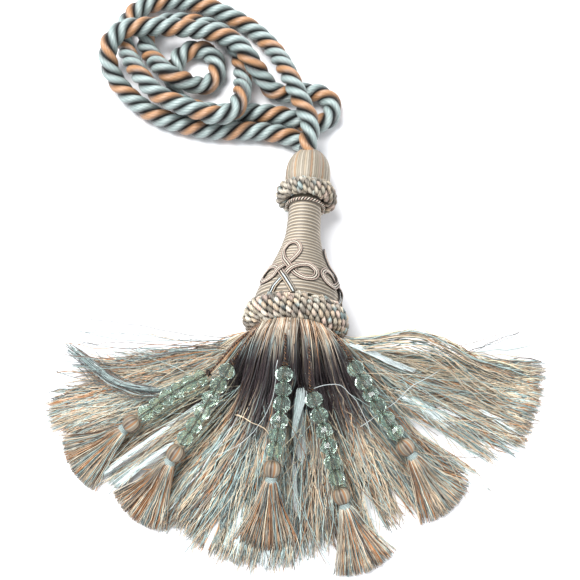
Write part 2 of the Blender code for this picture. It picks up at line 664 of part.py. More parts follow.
def build_mini_tassel(number, row, string_end, paths):
    """Make one small tassel: a ball head, a band and a skirt that lies on the pile."""
    turn = math.radians(row["skirt"])
    flat = Vector((math.cos(turn), -math.sin(turn), 0.0))
    head = shifted((*row["head"], 0.0))
    to_head = head - string_end
    to_head.z = 0.0
    out = (flat * MINI_AIM + to_head.normalized() * (1.0 - MINI_AIM)).normalized()
    along = (out * math.cos(MINI_TILT) - Vector((0.0, 0.0, math.sin(MINI_TILT)))).normalized()
    start = string_end + to_head.normalized() * MINI_HEAD_GAP
    radius = MINI_OUTLINE[3][1]
    middle = start + along * MINI_HEAD_MIDDLE
    start.z += max(0.0, pile_top(paths, middle, radius) + radius + REST_GAP - middle.z)
    side = along.cross(Vector((0.0, 0.0, 1.0))).normalized()
    matrix = Matrix((side, along, side.cross(along))).transposed().to_4x4()
    matrix.translation = start
    bm = turned(MINI_OUTLINE, MINI_SIDES)
    bmesh.ops.transform(bm, matrix=matrix, verts=bm.verts)
    faces = lock_faces(bm, MINI_OUTLINE, MINI_SIDES, MINI_LOCK_ROWS, matrix)
    roots = [face.calc_center_median() for face in faces]
    slots = layered_slots(roots, lambda root: (root - start).dot(side), MINI_LAYERS)
    hub = start + along * (MINI_OUTLINE[-1][0] - MINI_HUB_BACK)
    ways = {}
    for slot, _, index in slots:
        swing = math.radians(MINI_HALF_SPREAD) * (2.0 * (slot + 0.5) / len(slots) - 1.0)
        ways[index] = flat * math.cos(swing) + Vector((flat.y, -flat.x, 0.0)) * math.sin(swing)
    middles = [hub + way * MINI_SKIRT_MIDDLE for way in ways.values()]
    shelf = max(pile_top(paths, middle, MINI_SHELF_REACH) for middle in middles)
    for _, layer, index in slots:
        middle = hub + ways[index] * MINI_SKIRT_MIDDLE
        middle.z = shelf + REST_GAP + MINI_LOCK_SECTIONS[0][1] / 2 + layer * MINI_LAYER_STEP
        tip = hub + ways[index] * MINI_SKIRT_LENGTH
        tip.z = pile_top(paths, tip, MINI_TIP_REACH) + 2 * REST_GAP + MINI_LOCK_SECTIONS[1][1] / 2
        grow_lock(bm, faces[index], [roots[index], middle, tip], MINI_LOCK_SECTIONS)
    add_object(f"mini_tassel_{number}", bm, "fringe_thread")


# ---------------------------------------------------------------- rope

def build_rope():
    """Make the rope: a three-lobed section that turns once in each lay along the route."""
    route = [shifted(point) for point in ROPE_ROUTE]
    points, length = curve_through(route, ROPE_LAY / ROPE_STEPS_PER_LAY)
    step = length / (len(points) - 1)
    rings = []
    for i, (point, (_, side, up)) in enumerate(zip(points, frames_along(points))):
        turn = math.tau * i * step / ROPE_LAY
        taper = ROPE_END_TAPER if i in (0, len(points) - 1) else 1.0
        ring = []
        for corner in range(6):
            radius = taper * (ROPE_DIAMETER / 2 if corner % 2 == 0 else ROPE_VALLEY_RADIUS)
            angle = turn + math.tau * corner / 6
            ring.append(point + side * (radius * math.cos(angle)) + up * (radius * math.sin(angle)))
        rings.append(ring)
    add_object("rope_loop", tube(rings), "rope_blue")


def main():
    """Build every piece of the tieback."""
    clear_scene()
    matrix = tassel_matrix()
    matrix.translation = matrix.translation * MM
    axis = add_empty("tassel_axis", matrix)
    build_head(axis)
    build_mold(axis)
    build_upper_ruff(axis)
    build_lower_ruff(axis)
    build_neck_cord(axis)
    build_scrolls(axis)
    paths = build_skirt()
    for number, row in enumerate(STRINGS, start=1):
        string_end = build_string(number, row, paths)
        build_mini_tassel(number, row, string_end, paths)
    build_rope()


main()
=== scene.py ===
"""Looks of a curtain tieback tassel: silky cords, wound threads, glass beads and a wide fringe.

Sizes are in millimetres in the classes, and become metres when a mesh is made. +X is to the
right, +Y points from the fringe to the rope, +Z is up, and the table's top is at z = 0.
"""

import logging
import math
from dataclasses import dataclass
from enum import Enum

import bmesh
import bpy
import numpy as np
from mathutils import Matrix, Vector


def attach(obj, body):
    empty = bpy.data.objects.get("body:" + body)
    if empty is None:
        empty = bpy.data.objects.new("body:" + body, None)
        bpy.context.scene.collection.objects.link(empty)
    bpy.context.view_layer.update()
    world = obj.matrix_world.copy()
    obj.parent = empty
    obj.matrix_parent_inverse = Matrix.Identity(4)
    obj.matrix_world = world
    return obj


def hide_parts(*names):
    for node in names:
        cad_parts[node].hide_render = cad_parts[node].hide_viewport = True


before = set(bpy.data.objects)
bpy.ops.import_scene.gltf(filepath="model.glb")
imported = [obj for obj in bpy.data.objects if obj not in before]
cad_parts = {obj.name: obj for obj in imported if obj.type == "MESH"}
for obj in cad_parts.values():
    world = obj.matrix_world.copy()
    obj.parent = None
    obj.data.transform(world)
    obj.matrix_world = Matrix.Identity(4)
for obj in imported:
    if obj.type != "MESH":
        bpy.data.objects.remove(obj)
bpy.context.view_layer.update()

LOG = logging.getLogger("tieback")
MM = 0.001
LAYOUT_SHIFT = np.array((-2.5, 34.0, 0.0))
UP = np.array((0.0, 0.0, 1.0))
Points = np.ndarray
Spot = tuple[float, float, float]
Table = tuple[tuple[float, float], ...]


class Yarn(Enum):
    """Dyed yarns, as display colours."""

    CREAM = (220, 210, 192)
    BEIGE = (190, 179, 158)
    TAN = (194, 175, 150)
    STONE = (158, 148, 134)
    COPPER = (178, 129, 88)
    APRICOT = (196, 147, 104)
    RUST = (138, 92, 64)
    BLUE = (146, 166, 164)
    PALE_BLUE = (174, 191, 188)
    SLATE = (96, 108, 110)
    FLOSS = (232, 242, 242)
    PLUM = (50, 37, 40)
    UMBER = (108, 88, 74)
    PINK = (202, 178, 162)

    @property
    def tint(self) -> Points:
        """The yarn's colour in linear light."""
        share = np.array(self.value) / 255.0
        return np.where(share <= 0.04045, share / 12.92, ((share + 0.055) / 1.055) ** 2.4)


def yarns(names: str) -> tuple[Yarn, ...]:
    """Look up yarns by their names, in order."""
    return tuple(Yarn[name] for name in names.split())


# ------------------------------------------------ curves and frames


def unit(vectors: Points) -> Points:
    """Scale vectors to length one."""
    return vectors / np.maximum(np.linalg.norm(vectors, axis=-1, keepdims=True), 1e-9)


def smooth(share: Points) -> Points:
    """Ease from 0 to 1."""
    share = np.clip(share, 0.0, 1.0)
    return share * share * (3.0 - 2.0 * share)


def shifted(points: Points) -> Points:
    """Move layout points into the part's own frame."""
    return np.asarray(points, float) + LAYOUT_SHIFT


def heading(angle: Points) -> tuple[Points, Points]:
    """Give the plan directions ahead and to the left, for angles clockwise from +X."""
    cos, sin = np.cos(angle), np.sin(angle)
    return np.stack([cos, -sin], axis=-1), np.stack([sin, cos], axis=-1)


def curve_through(points: Points, spacing: float) -> Points:
    """Lay evenly spaced points on a smooth curve.

    Args:
        points: The points that the curve goes through.
        spacing: The distance between the new points.

    Returns:
        The new points, from the first to the last.
    """
    knots = np.asarray(points, float)
    ends = np.vstack([2 * knots[0] - knots[1], knots, 2 * knots[-1] - knots[-2]])
    share = np.linspace(0.0, 1.0, 12, endpoint=False)[:, None]
    fine = []
    for before, start, stop, after in zip(ends, ends[1:], ends[2:], ends[3:]):
        t1 = math.sqrt(np.linalg.norm(start - before))
        t2 = t1 + math.sqrt(np.linalg.norm(stop - start))
        t3 = t2 + math.sqrt(np.linalg.norm(after - stop))
        t = t1 + share * (t2 - t1)
        a1 = before + (start - before) * t / t1
        a2 = start + (stop - start) * (t - t1) / (t2 - t1)
        a3 = stop + (after - stop) * (t - t2) / (t3 - t2)
        b1 = a1 + (a2 - a1) * t / t2
        b2 = a2 + (a3 - a2) * (t - t1) / (t3 - t1)
        fine.append(b1 + (b2 - b1) * (t - t1) / (t2 - t1))
    fine = np.vstack([*fine, knots[-1:]])
    travel = np.r_[0.0, np.cumsum(np.linalg.norm(np.diff(fine, axis=0), axis=1))]
    places = np.linspace(0.0, travel[-1], max(2, round(travel[-1] / spacing)) + 1)
    return np.column_stack([np.interp(places, travel, column) for column in fine.T])


def rounded(outline: Table, spacing: float) -> list[tuple[float, float]]:
    """Lay evenly spaced points on a smooth curve through an outline."""
    return [tuple(row) for row in curve_through([(0.0, *row) for row in outline], spacing)[:, 1:]]


def length_of(points: Points) -> float:
    """The length of a chain of points."""
    return float(np.linalg.norm(np.diff(points, axis=0), axis=1).sum())


def carried_frames(points: Points) -> tuple[Points, Points]:
    """Carry a side and an up direction along a curve with no added twist.

    Args:
        points: The curve.

    Returns:
        The side directions and the up directions.
    """
    tangents = unit(np.gradient(points, axis=0))
    up = UP
    ups = []
    for tangent in tangents:
        up = up - tangent * up.dot(tangent)
        up = up / np.linalg.norm(up)
        ups.append(up)
    return np.cross(tangents, ups), np.array(ups)


# ------------------------------------------------ meshes of thread


def shown(data: bpy.types.ID) -> bpy.types.Object:
    """Make the object of a mesh, lamp or camera, at the origin, and put it in the scene.

    Args:
        data: The mesh, lamp or camera.

    Returns:
        The object.
    """
    obj = bpy.data.objects.new(data.name, data)
    bpy.context.collection.objects.link(obj)
    return obj


class ThreadMesh:
    """Gathers closed tubes of thread and makes them one mesh, with a UV map and two tints."""

    def __init__(self, name: str) -> None:
        """Start an empty mesh.

        Args:
            name: The name of the mesh and its object.
        """
        self.name = name
        self.count = 0
        self.kept: dict[str, list[Points]] = {
            key: [] for key in ("points", "faces", "caps", "uvs", "tint", "second")}

    def add(self, paths: Points, radii: Points, tints: Points, seconds: Points | None = None,
            sides: int = 3, ups: Points = UP, looped: bool = False) -> None:
        """Add tubes that have the same number of points.

        Args:
            paths: The middle lines, as tube, point, xyz.
            radii: The radius, or one for each tube or point.
            tints: The colour, or one for each tube or point.
            seconds: The colours between the yarn lines, where they differ.
            sides: The sides of each tube.
            ups: The direction that the first side's edge faces, at each point.
            looped: True where each tube runs back into its own start.
        """
        tubes, steps = paths.shape[:2]
        ahead = (np.roll(paths, -1, axis=1) - np.roll(paths, 1, axis=1) if looped
                 else np.gradient(paths, axis=1))
        tangents = unit(ahead)
        across = unit(np.cross(tangents, ups))
        rise = np.cross(across, tangents)
        turns = math.tau * np.arange(sides)[:, None] / sides
        spokes = rise[:, :, None] * np.cos(turns) + across[:, :, None] * np.sin(turns)
        radii = np.broadcast_to(radii, (tubes, steps))[..., None, None]
        self.kept["points"].append((paths[:, :, None] + spokes * radii).reshape(-1, 3))
        self._add_faces(tubes, steps, sides, looped)
        self._add_uvs(paths, sides, looped)
        for key, values in (("tint", tints), ("second", tints if seconds is None else seconds)):
            full = np.broadcast_to(values, (tubes, steps, 3)).reshape(-1, 3)
            self.kept[key].append(np.repeat(full, sides, axis=0))
        self.count += tubes * steps * sides

    def twist(self, middle: Points, frames: tuple[Points, Points], turn: Points, reach: float,
              *look: object, looped: bool = False) -> None:
        """Add one ply that twists around a middle line.

        Args:
            middle: The line.
            frames: The directions at no turn and at a quarter turn, at each point.
            turn: The ply's turn at each point.
            reach: The ply's distance from the line.
            *look: Its radii, tints, second tints and sides, as add takes them.
            looped: True where the line runs back into its own start.
        """
        spoke = frames[0] * np.cos(turn)[:, None] + frames[1] * np.sin(turn)[:, None]
        self.add((middle + spoke * reach)[None], *look, ups=spoke, looped=looped)

    def _add_faces(self, tubes: int, steps: int, sides: int, looped: bool) -> None:
        """Add the side faces and the end caps of equal tubes, as add has them.

        Args:
            tubes: The number of tubes.
            steps: The points along each tube.
            sides: The sides of each tube.
            looped: True where each tube runs back into its own start.
        """
        base = self.count + np.arange(tubes)[:, None, None] * steps * sides
        row = np.arange(steps if looped else steps - 1)[:, None]
        side = np.arange(sides)
        turned = (side + 1) % sides
        here, ahead = base + row * sides, base + (row + 1) % steps * sides
        quads = np.stack([here + side, here + turned, ahead + turned, ahead + side], axis=-1)
        self.kept["faces"].append(quads.reshape(-1, 4))
        if not looped:
            last = base[:, 0] + (steps - 1) * sides
            self.kept["caps"] += [*(base[:, 0] + side[::-1]), *(last + side)]

    def _add_uvs(self, paths: Points, sides: int, looped: bool) -> None:
        """Add corners that hold the turn around a tube and the millimetres along it.

        Args:
            paths: The middle lines, as tube, point, xyz.
            sides: The sides of each tube.
            looped: True where each tube runs back into its own start.
        """
        closed = np.concatenate([paths, paths[:, :1]], axis=1) if looped else paths
        travel = np.cumsum(np.linalg.norm(np.diff(closed, axis=1), axis=2), axis=1)
        travel = np.concatenate([np.zeros((len(paths), 1)), travel], axis=1)[:, :, None]
        low, high = travel[:, :-1], travel[:, 1:]
        left = np.arange(sides) / sides
        right = left + 1.0 / sides
        corners = [np.stack(np.broadcast_arrays(turn, way), axis=-1)
                   for turn, way in ((left, low), (right, low), (right, high), (left, high))]
        self.kept["uvs"].append(np.stack(corners, axis=3).reshape(-1, 2))

    def make(self) -> bpy.types.Object:
        """Make the object at the origin, in metres, with its faces smooth.

        Returns:
            The object.
        """
        mesh = bpy.data.meshes.new(self.name)
        points, quads = (np.vstack(self.kept[key]) for key in ("points", "faces"))
        caps = self.kept["caps"]
        corners = np.concatenate([quads.ravel(), *caps])
        sizes = [4] * len(quads) + [len(cap) for cap in caps]
        mesh.vertices.add(len(points))
        mesh.vertices.foreach_set("co", (points * MM).astype(np.float32).ravel())
        mesh.loops.add(len(corners))
        mesh.loops.foreach_set("vertex_index", corners.astype(np.int32))
        mesh.polygons.add(len(sizes))
        mesh.polygons.foreach_set("loop_start", np.cumsum([0, *sizes[:-1]], dtype=np.int32))
        mesh.update(calc_edges=True)
        mesh.shade_smooth()
        uvs = np.zeros((len(corners), 2), np.float32)
        uvs[:quads.size] = np.vstack(self.kept["uvs"])
        mesh.uv_layers.new(name="thread").data.foreach_set("uv", uvs.ravel())
        for name in ("tint", "second"):
            rgba = np.ones((len(points), 4), np.float32)
            rgba[:, :3] = np.vstack(self.kept[name])
            layer = mesh.color_attributes.new(name, "FLOAT_COLOR", "POINT")
            layer.data.foreach_set("color", rgba.ravel())
        return shown(mesh)


# ------------------------------------------------ finishes


class NodeBoard:
    """Builds a material's nodes around its Principled shader."""

    def __init__(self, name: str, **inputs: object) -> None:
        """Start a material and set its shader, whose inputs are named with _ for a space.

        Args:
            name: The material's name.
            **inputs: The numbers and colours of the shader's inputs.
        """
        self.material = bpy.data.materials.new(name)
        self.material.use_nodes = True
        self.tree = self.material.node_tree
        self.shader = self.tree.nodes["Principled BSDF"]
        self.fill(self.shader, {key.replace("_", " "): value for key, value in inputs.items()})

    def fill(self, node: bpy.types.Node, inputs: dict[str | int, object]) -> bpy.types.Node:
        """Give a node's inputs their numbers, colours or links, and return the node.

        Args:
            node: The node.
            inputs: What each input gets, by its name or number.

        Returns:
            The node.
        """
        for key, value in inputs.items():
            if isinstance(value, bpy.types.NodeSocket):
                self.tree.links.new(value, node.inputs[key])
            else:
                node.inputs[key].default_value = value
        return node

    def add(self, kind: str, inputs: dict[str | int, object], **settings: str) -> bpy.types.Node:
        """Add a node with its settings and inputs, and return it.

        Args:
            kind: The node's type.
            inputs: What each input gets, by its name or number.
            **settings: The node's other settings.

        Returns:
            The node.
        """
        node = self.tree.nodes.new(kind)
        for key, value in settings.items():
            setattr(node, key, value)
        return self.fill(node, inputs)

    def sum_of(self, kind: str, *values: object) -> bpy.types.NodeSocket:
        """Work out a sum of numbers or sockets."""
        return self.add("ShaderNodeMath", dict(enumerate(values)), operation=kind).outputs[0]

    def attribute(self, name: str) -> bpy.types.NodeSocket:
        """Read a colour attribute of the piece."""
        return self.add("ShaderNodeAttribute", {}, attribute_name=name).outputs["Color"]

    def noise(self, scale: float, detail: float) -> bpy.types.NodeSocket:
        """Add noise on Object coordinates, with its scale in turns a metre.

        Args:
            scale: Turns a metre.
            detail: How many finer layers it has.

        Returns:
            The noise.
        """
        place = self.add("ShaderNodeTexCoord", {}).outputs["Object"]
        node = self.add("ShaderNodeTexNoise", {"Vector": place, "Scale": scale, "Detail": detail})
        return node.outputs["Fac"]

    def mixed(self, share: object, first: bpy.types.NodeSocket, second: bpy.types.NodeSocket,
              kind: str = "MIX") -> bpy.types.NodeSocket:
        """Mix or multiply two colours."""
        return self.add("ShaderNodeMix", {0: share, 6: first, 7: second}, data_type="RGBA",
                        blend_type=kind).outputs[2]

    def grey(self, value: bpy.types.NodeSocket, low: float, high: float, start: float = 0.0,
             stop: float = 1.0) -> bpy.types.NodeSocket:
        """Turn a value between start and stop into a grey between two levels.

        Args:
            value: The value.
            low: The grey where the value is start.
            high: The grey where the value is stop.
            start: The value's lower end.
            stop: The value's upper end.

        Returns:
            The grey.
        """
        return self.add("ShaderNodeMapRange", {
            "Value": value, "From Min": start, "From Max": stop, "To Min": low,
            "To Max": high}).outputs[0]

    def relief(self, height: bpy.types.NodeSocket, depth: float) -> None:
        """Raise the surface by a height, with its depth in millimetres."""
        node = self.add("ShaderNodeBump", {"Distance": depth * MM, "Height": height})
        self.fill(self.shader, {"Normal": node.outputs[0]})


@dataclass(frozen=True)
class YarnFinish:
    """A dyed yarn, whose tints come from the piece and whose fine lines follow its UV map, with
    painted shade in the valleys between plies and in the grooves between yarn lines.
    """

    name: str
    roughness: float = 0.45
    sheen: float = 0.25
    lines: int = 0
    slope: float = 0.0
    line_depth: float = 0.12
    darkest: float = 0.72
    lightest: float = 1.18
    specular: float = 0.5
    # Painted shade in the grooves between yarn lines: the colour drops to this share where the
    # relief is lowest.
    line_shade: float = 0.7
    # Painted shade in the valleys between plies: the colour drops to this share on a ply's
    # inward-facing side, and eases back to full over the reach, in turns from that side.
    painted_valley_shade: float = 1.0
    valley_shade_reach: tuple[float, float] = (0.1, 0.3)
    patch_scale: float = 260.0
    wander: float = 2.5

    def make(self) -> bpy.types.Material:
        """Build the material.

        Returns:
            The material.
        """
        board = NodeBoard(self.name, Roughness=self.roughness, Sheen_Weight=self.sheen,
                          Sheen_Roughness=0.4, Specular_IOR_Level=self.specular)
        colour = board.attribute("tint")
        patches = board.noise(self.patch_scale, 3.0)
        if self.lines:
            colour = self._lined(board, colour, patches)
        shade = board.grey(patches, self.darkest, self.lightest)
        board.fill(board.shader, {"Base Color": board.mixed(1.0, colour, shade, "MULTIPLY")})
        return board.material

    def _lined(self, board: NodeBoard, colour: bpy.types.NodeSocket,
               patches: bpy.types.NodeSocket) -> bpy.types.NodeSocket:
        """Draw and raise the yarns that lie side by side around a ply, and paint shade into their
        grooves and into the valleys between plies.

        Args:
            board: The material's nodes.
            colour: The ply's own colour.
            patches: Noise that makes the yarns uneven.

        Returns:
            The colour with its yarn lines.
        """
        uv = board.add("ShaderNodeUVMap", {}, uv_map="thread").outputs[0]
        turn, travel, _ = board.add("ShaderNodeSeparateXYZ", {0: uv}).outputs
        # Painted shade: darken the ply's inward-facing side, where it lies in the valley between
        # plies.
        if self.painted_valley_shade < 1.0:
            away = board.sum_of("ABSOLUTE", board.sum_of("SUBTRACT", turn, 0.5))
            shade = board.grey(away, self.painted_valley_shade, 1.0, *self.valley_shade_reach)
            colour = board.mixed(1.0, colour, shade, "MULTIPLY")
        around = board.sum_of("MULTIPLY", turn, math.tau * self.lines)
        along = board.sum_of("MULTIPLY_ADD", travel, math.tau * self.slope, around)
        uneven = board.sum_of("MULTIPLY_ADD", patches, self.wander, along)
        level = board.sum_of("MULTIPLY_ADD", board.sum_of("SINE", uneven), 0.5, 0.5)
        board.relief(level, self.line_depth)
        slow = board.sum_of("SINE", board.sum_of("MULTIPLY", uneven, 0.5))
        second = board.grey(slow, 0.0, 1.0)
        other = board.attribute("second")
        if self.painted_valley_shade < 1.0:
            other = board.mixed(1.0, other, shade, "MULTIPLY")
        colour = board.mixed(second, colour, other)
        # Painted shade: darker in the grooves between the yarn lines, following the relief.
        return board.mixed(1.0, colour, board.grey(level, self.line_shade, 1.1), "MULTIPLY")


@dataclass(frozen=True)
class GlassFinish:
    """Clear green glass with a slightly uneven inside."""

    name: str = "green_glass"
    colour: Spot = (0.70, 0.88, 0.77)
    roughness: float = 0.02
    clearness: float = 0.94
    bending: float = 1.42
    uneven: float = 0.03
    uneven_scale: float = 300.0

    def make(self) -> bpy.types.Material:
        """Build the material.

        Returns:
            The material.
        """
        board = NodeBoard(self.name, Base_Color=(*self.colour, 1.0), Roughness=self.roughness,
                          Transmission_Weight=self.clearness, IOR=self.bending)
        board.relief(board.noise(self.uneven_scale, 2.0), self.uneven)
        return board.material


@dataclass(frozen=True)
class FloorFinish:
    """A plain pale table top."""

    name: str = "pale_table"
    colour: Spot = (0.93, 0.935, 0.95)

    def make(self) -> bpy.types.Material:
        """Build the material."""
        return NodeBoard(self.name, Base_Color=(*self.colour, 1.0), Roughness=0.9,
                         Specular_IOR_Level=0.1).material


# The valley settings paint shade into the gaps between plies and between cords.
ROPE_YARN = YarnFinish("silky_rope_yarn", 0.34, 0.12, 18, -0.9, 0.16, 0.85, 1.12, 0.8,
                       line_shade=0.66, painted_valley_shade=0.03, valley_shade_reach=(0.29, 0.46))
WOUND_YARN = YarnFinish("wound_silk", 0.45, 0.1, 3, 0.0, 0.05, 0.8, 1.0, 0.3)
KNOT_YARN = YarnFinish("knotted_yarn", 0.45, 0.15, 6, -0.8, 0.16, 0.75, 1.2, painted_valley_shade=0.04,
                       valley_shade_reach=(0.14, 0.42))
FINE_CORD = YarnFinish("fine_twisted_cord", 0.42, 0.1, 2, 1.1, 0.1, 0.8, 1.15, painted_valley_shade=0.03,
                       valley_shade_reach=(0.34, 0.45))
FRINGE_YARN = YarnFinish("fringe_floss", 0.34, 0.08, darkest=0.7, lightest=1.3, specular=0.6)


def dressed(obj: bpy.types.Object, finish: YarnFinish | GlassFinish, slot: str,
            *nodes: str) -> bpy.types.Object:
    """Give a piece its finish and its place in the part.

    Args:
        obj: The piece.
        finish: What it is made of.
        slot: Not used.
        *nodes: The solids that it stands for.

    Returns:
        The piece.
    """
    obj.data.materials.clear()
    obj.data.materials.append(bpy.data.materials.get(finish.name) or finish.make())
    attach(obj, "root")
    if nodes:
        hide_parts(*nodes)
    obj.data.calc_loop_triangles()
    LOG.info("%s: %d triangles", obj.name, len(obj.data.loop_triangles))
    return obj


# ------------------------------------------------ camera, floor and light


@dataclass
class Studio:
    """The camera at the photograph's angle, a pale floor and soft light."""

    camera_at: Spot = (-2.5, -81.95, 444.73)
    looks_at: Spot = (-2.5, 34.0, 12.0)
    focal_pixels: float = 800.0
    frame_pixels: float = 580.0
    floor_side: float = 6000.0
    room_colour: Spot = (0.93, 0.95, 1.0)
    room_strength: float = 0.62
    # Name, place, side and power, in metres and watts.
    lamps: tuple[tuple[str, Spot, float, float], ...] = (
        ("key_light", (-0.4, 0.4, 1.05), 0.7, 22.0), ("side_light", (0.9, -0.3, 0.7), 0.6, 4.0))

    @staticmethod
    def _aim(obj: bpy.types.Object, at: Vector, aim: Vector) -> None:
        """Place a camera or lamp and turn it to what it faces."""
        obj.location = at
        obj.rotation_euler = (aim - at).to_track_quat("-Z", "Y").to_euler()

    def set_camera(self) -> None:
        """Place the camera."""
        data = bpy.data.cameras.new("camera")
        data.sensor_width = 36.0
        data.lens = data.sensor_width * self.focal_pixels / self.frame_pixels
        data.clip_start, data.clip_end = 0.01, 20.0
        camera = shown(data)
        self._aim(camera, Vector(self.camera_at) * MM, Vector(self.looks_at) * MM)
        bpy.context.scene.camera = camera

    def set_floor(self) -> None:
        """Lay the floor."""
        bm = bmesh.new()
        bmesh.ops.create_grid(bm, x_segments=1, y_segments=1, size=self.floor_side / 2 * MM)
        mesh = bpy.data.meshes.new("table_top")
        bm.to_mesh(mesh)
        bm.free()
        mesh.materials.append(FloorFinish().make())
        shown(mesh)

    def set_lights(self) -> None:
        """Hang a large soft light over the table, a smaller one beside it, and a white room."""
        world = bpy.data.worlds.new("white_room")
        world.use_nodes = True
        backdrop = world.node_tree.nodes["Background"]
        backdrop.inputs["Color"].default_value = (*self.room_colour, 1.0)
        backdrop.inputs["Strength"].default_value = self.room_strength
        bpy.context.scene.world = world
        for name, place, side, power in self.lamps:
            data = bpy.data.lights.new(name, "AREA")
            data.size, data.energy = side, power
            self._aim(shown(data), Vector(place), Vector((0.0, 0.0, 0.02)))
        bpy.context.scene.view_settings.view_transform = "Standard"


# ------------------------------------------------ the rope


@dataclass
class TiebackRope:
    """The three-ply rope, which leaves the head, lies in a loose coil and comes back."""

    diameter: float = 11.5
    lay: float = 26.0
    ply_radius: float = 2.72
    ply_place: float = 3.02
    end_share: float = 0.86
    step: float = 1.3
    sides: int = 14
    colours: tuple[tuple[Yarn, Yarn], ...] = (
        (Yarn.PALE_BLUE, Yarn.BLUE), (Yarn.APRICOT, Yarn.COPPER), (Yarn.PALE_BLUE, Yarn.BLUE))
    # The way from the head through the coil and back, in the part's frame.
    route: tuple[Spot, ...] = (
        (7.5, 118.2, 19.9), (8.9, 125.5, 20.0), (9.0, 133.0, 19.8), (5.7, 143.0, 19.6),
        (1.0, 154.5, 19.0), (-3.7, 167.5, 16.2), (-12.5, 187.0, 9.5), (-26.0, 203.5, 6.2),
        (-42.5, 214.0, 6.2), (-59.0, 221.0, 6.2), (-77.0, 223.5, 6.2), (-92.5, 220.5, 6.2),
        (-102.5, 211.5, 6.2), (-106.0, 198.5, 6.2), (-102.0, 185.0, 9.0), (-96.7, 174.0, 14.0),
        (-90.7, 163.5, 18.2), (-82.0, 153.2, 18.7), (-70.5, 146.5, 18.7), (-57.5, 141.5, 18.7),
        (-45.5, 138.0, 18.7), (-36.0, 140.5, 19.2), (-31.5, 151.5, 16.8), (-31.3, 165.5, 9.5),
        (-32.5, 179.5, 6.4), (-36.5, 191.0, 6.4), (-44.5, 200.5, 6.4), (-57.5, 206.5, 6.4),
        (-72.5, 208.5, 6.4), (-84.5, 206.5, 6.4), (-91.5, 199.5, 6.4), (-90.8, 190.0, 6.4),
        (-85.3, 180.2, 10.5), (-80.3, 171.5, 16.5), (-73.5, 164.5, 18.6), (-65.5, 162.5, 15.2),
        (-58.0, 163.0, 9.0), (-51.0, 166.0, 6.4), (-47.0, 174.0, 6.4), (-49.0, 183.0, 6.4),
        (-55.5, 188.5, 6.4), (-64.0, 188.5, 6.4), (-70.5, 183.5, 6.4), (-73.5, 175.0, 6.4),
        (-74.0, 165.0, 6.4), (-71.0, 155.5, 6.4), (-62.5, 149.9, 6.4), (-50.5, 146.7, 6.4),
        (-36.0, 146.2, 6.4), (-20.5, 146.0, 6.4), (-8.5, 144.5, 6.4), (2.5, 141.0, 6.4),
        (13.5, 138.5, 6.4), (21.5, 143.0, 6.4), (23.0, 152.0, 6.4), (16.5, 158.5, 6.4),
        (6.0, 160.0, 6.4), (-4.5, 158.5, 6.4), (-13.5, 161.0, 7.5), (-19.5, 167.5, 12.5),
        (-26.0, 174.5, 19.0), (-34.5, 186.0, 18.7), (-46.5, 192.5, 18.7), (-62.5, 195.5, 18.7),
        (-78.0, 197.0, 18.7), (-92.5, 197.0, 18.7), (-104.0, 194.5, 19.0), (-111.5, 185.0, 17.8),
        (-111.5, 173.5, 12.5), (-106.0, 164.0, 7.5), (-97.5, 155.0, 6.2), (-87.5, 147.0, 6.2),
        (-76.5, 141.5, 6.2), (-63.5, 137.5, 6.2), (-51.5, 135.0, 6.2), (-38.5, 134.3, 6.2),
        (-26.5, 134.2, 6.2), (-14.5, 133.2, 6.2), (-5.5, 131.0, 6.4), (2.0, 127.5, 6.8),
        (7.5, 123.0, 7.1), (9.4, 117.8, 7.5),
    )
    # Where the plies' two ends lie hidden in the head.
    buried: tuple[Spot, Spot] = ((8.7, 111.5, 16.6), (9.0, 111.5, 10.8))

    def build(self) -> None:
        first, last = self.buried
        lead = math.dist(first, self.route[0])
        middle = curve_through((first, *self.route, last), self.step)
        length = length_of(middle)
        travel = np.linspace(-lead, length - lead, len(middle))
        radii = np.full(len(middle), self.ply_radius)
        radii[[0, -1]] *= self.end_share
        frames = carried_frames(middle)
        mesh = ThreadMesh("twisted_rope")
        for number, (tint, second) in enumerate(self.colours):
            turn = math.tau * number / len(self.colours) + math.tau * travel / self.lay
            mesh.twist(middle, frames, turn, self.ply_place, radii, tint.tint, second.tint,
                       self.sides)
        rope = dressed(mesh.make(), ROPE_YARN, "rope", "rope_loop")


# ------------------------------------------------ the tassel's axis


@dataclass(frozen=True)
class TasselAxis:
    """The tassel's own frame: X across it, Y along its axis to the head, Z up."""

    origin: Spot = (3.0, -22.0, 28.75)
    lean: float = math.radians(4.7)
    drop: float = math.radians(8.1)

    def matrix(self) -> Matrix:
        """The frame's matrix, in millimetres.

        Returns:
            The matrix.
        """
        along = Vector((math.sin(self.lean) * math.cos(self.drop),
                        math.cos(self.lean) * math.cos(self.drop), -math.sin(self.drop)))
        return frame_matrix(along.cross(Vector(UP)).normalized(), along, shifted(self.origin))

    def place(self, angle: Points, along: Points, radius: Points) -> Points:
        """Give points around the axis; angle 0 is its top and a quarter turn its right side.

        Args:
            angle: The turn around the axis.
            along: The place along it.
            radius: The distance from it.

        Returns:
            The points, in the part's frame.
        """
        local = np.stack(np.broadcast_arrays(radius * np.sin(angle), along,
                                             radius * np.cos(angle)), axis=-1)
        matrix = np.array(self.matrix())
        return local @ matrix[:3, :3].T + matrix[:3, 3]

    def direction(self, angle: Points, along: Points, outward: Points) -> Points:
        """Give directions around the axis, from their share along it and outward."""
        return self.place(angle, along, outward) - self.place(angle, 0.0, 0.0 * outward)


def frame_matrix(side: Vector, along: Vector, origin: Points) -> Matrix:
    """Give the matrix of a frame whose X is the side and whose Y is along.

    Args:
        side: The frame's X direction.
        along: The frame's Y direction.
        origin: Where the frame starts, in millimetres.

    Returns:
        The matrix, in millimetres.
    """
    matrix = Matrix((side, along, side.cross(along))).transposed().to_4x4()
    matrix.translation = Vector(origin)
    return matrix


AXIS = TasselAxis()


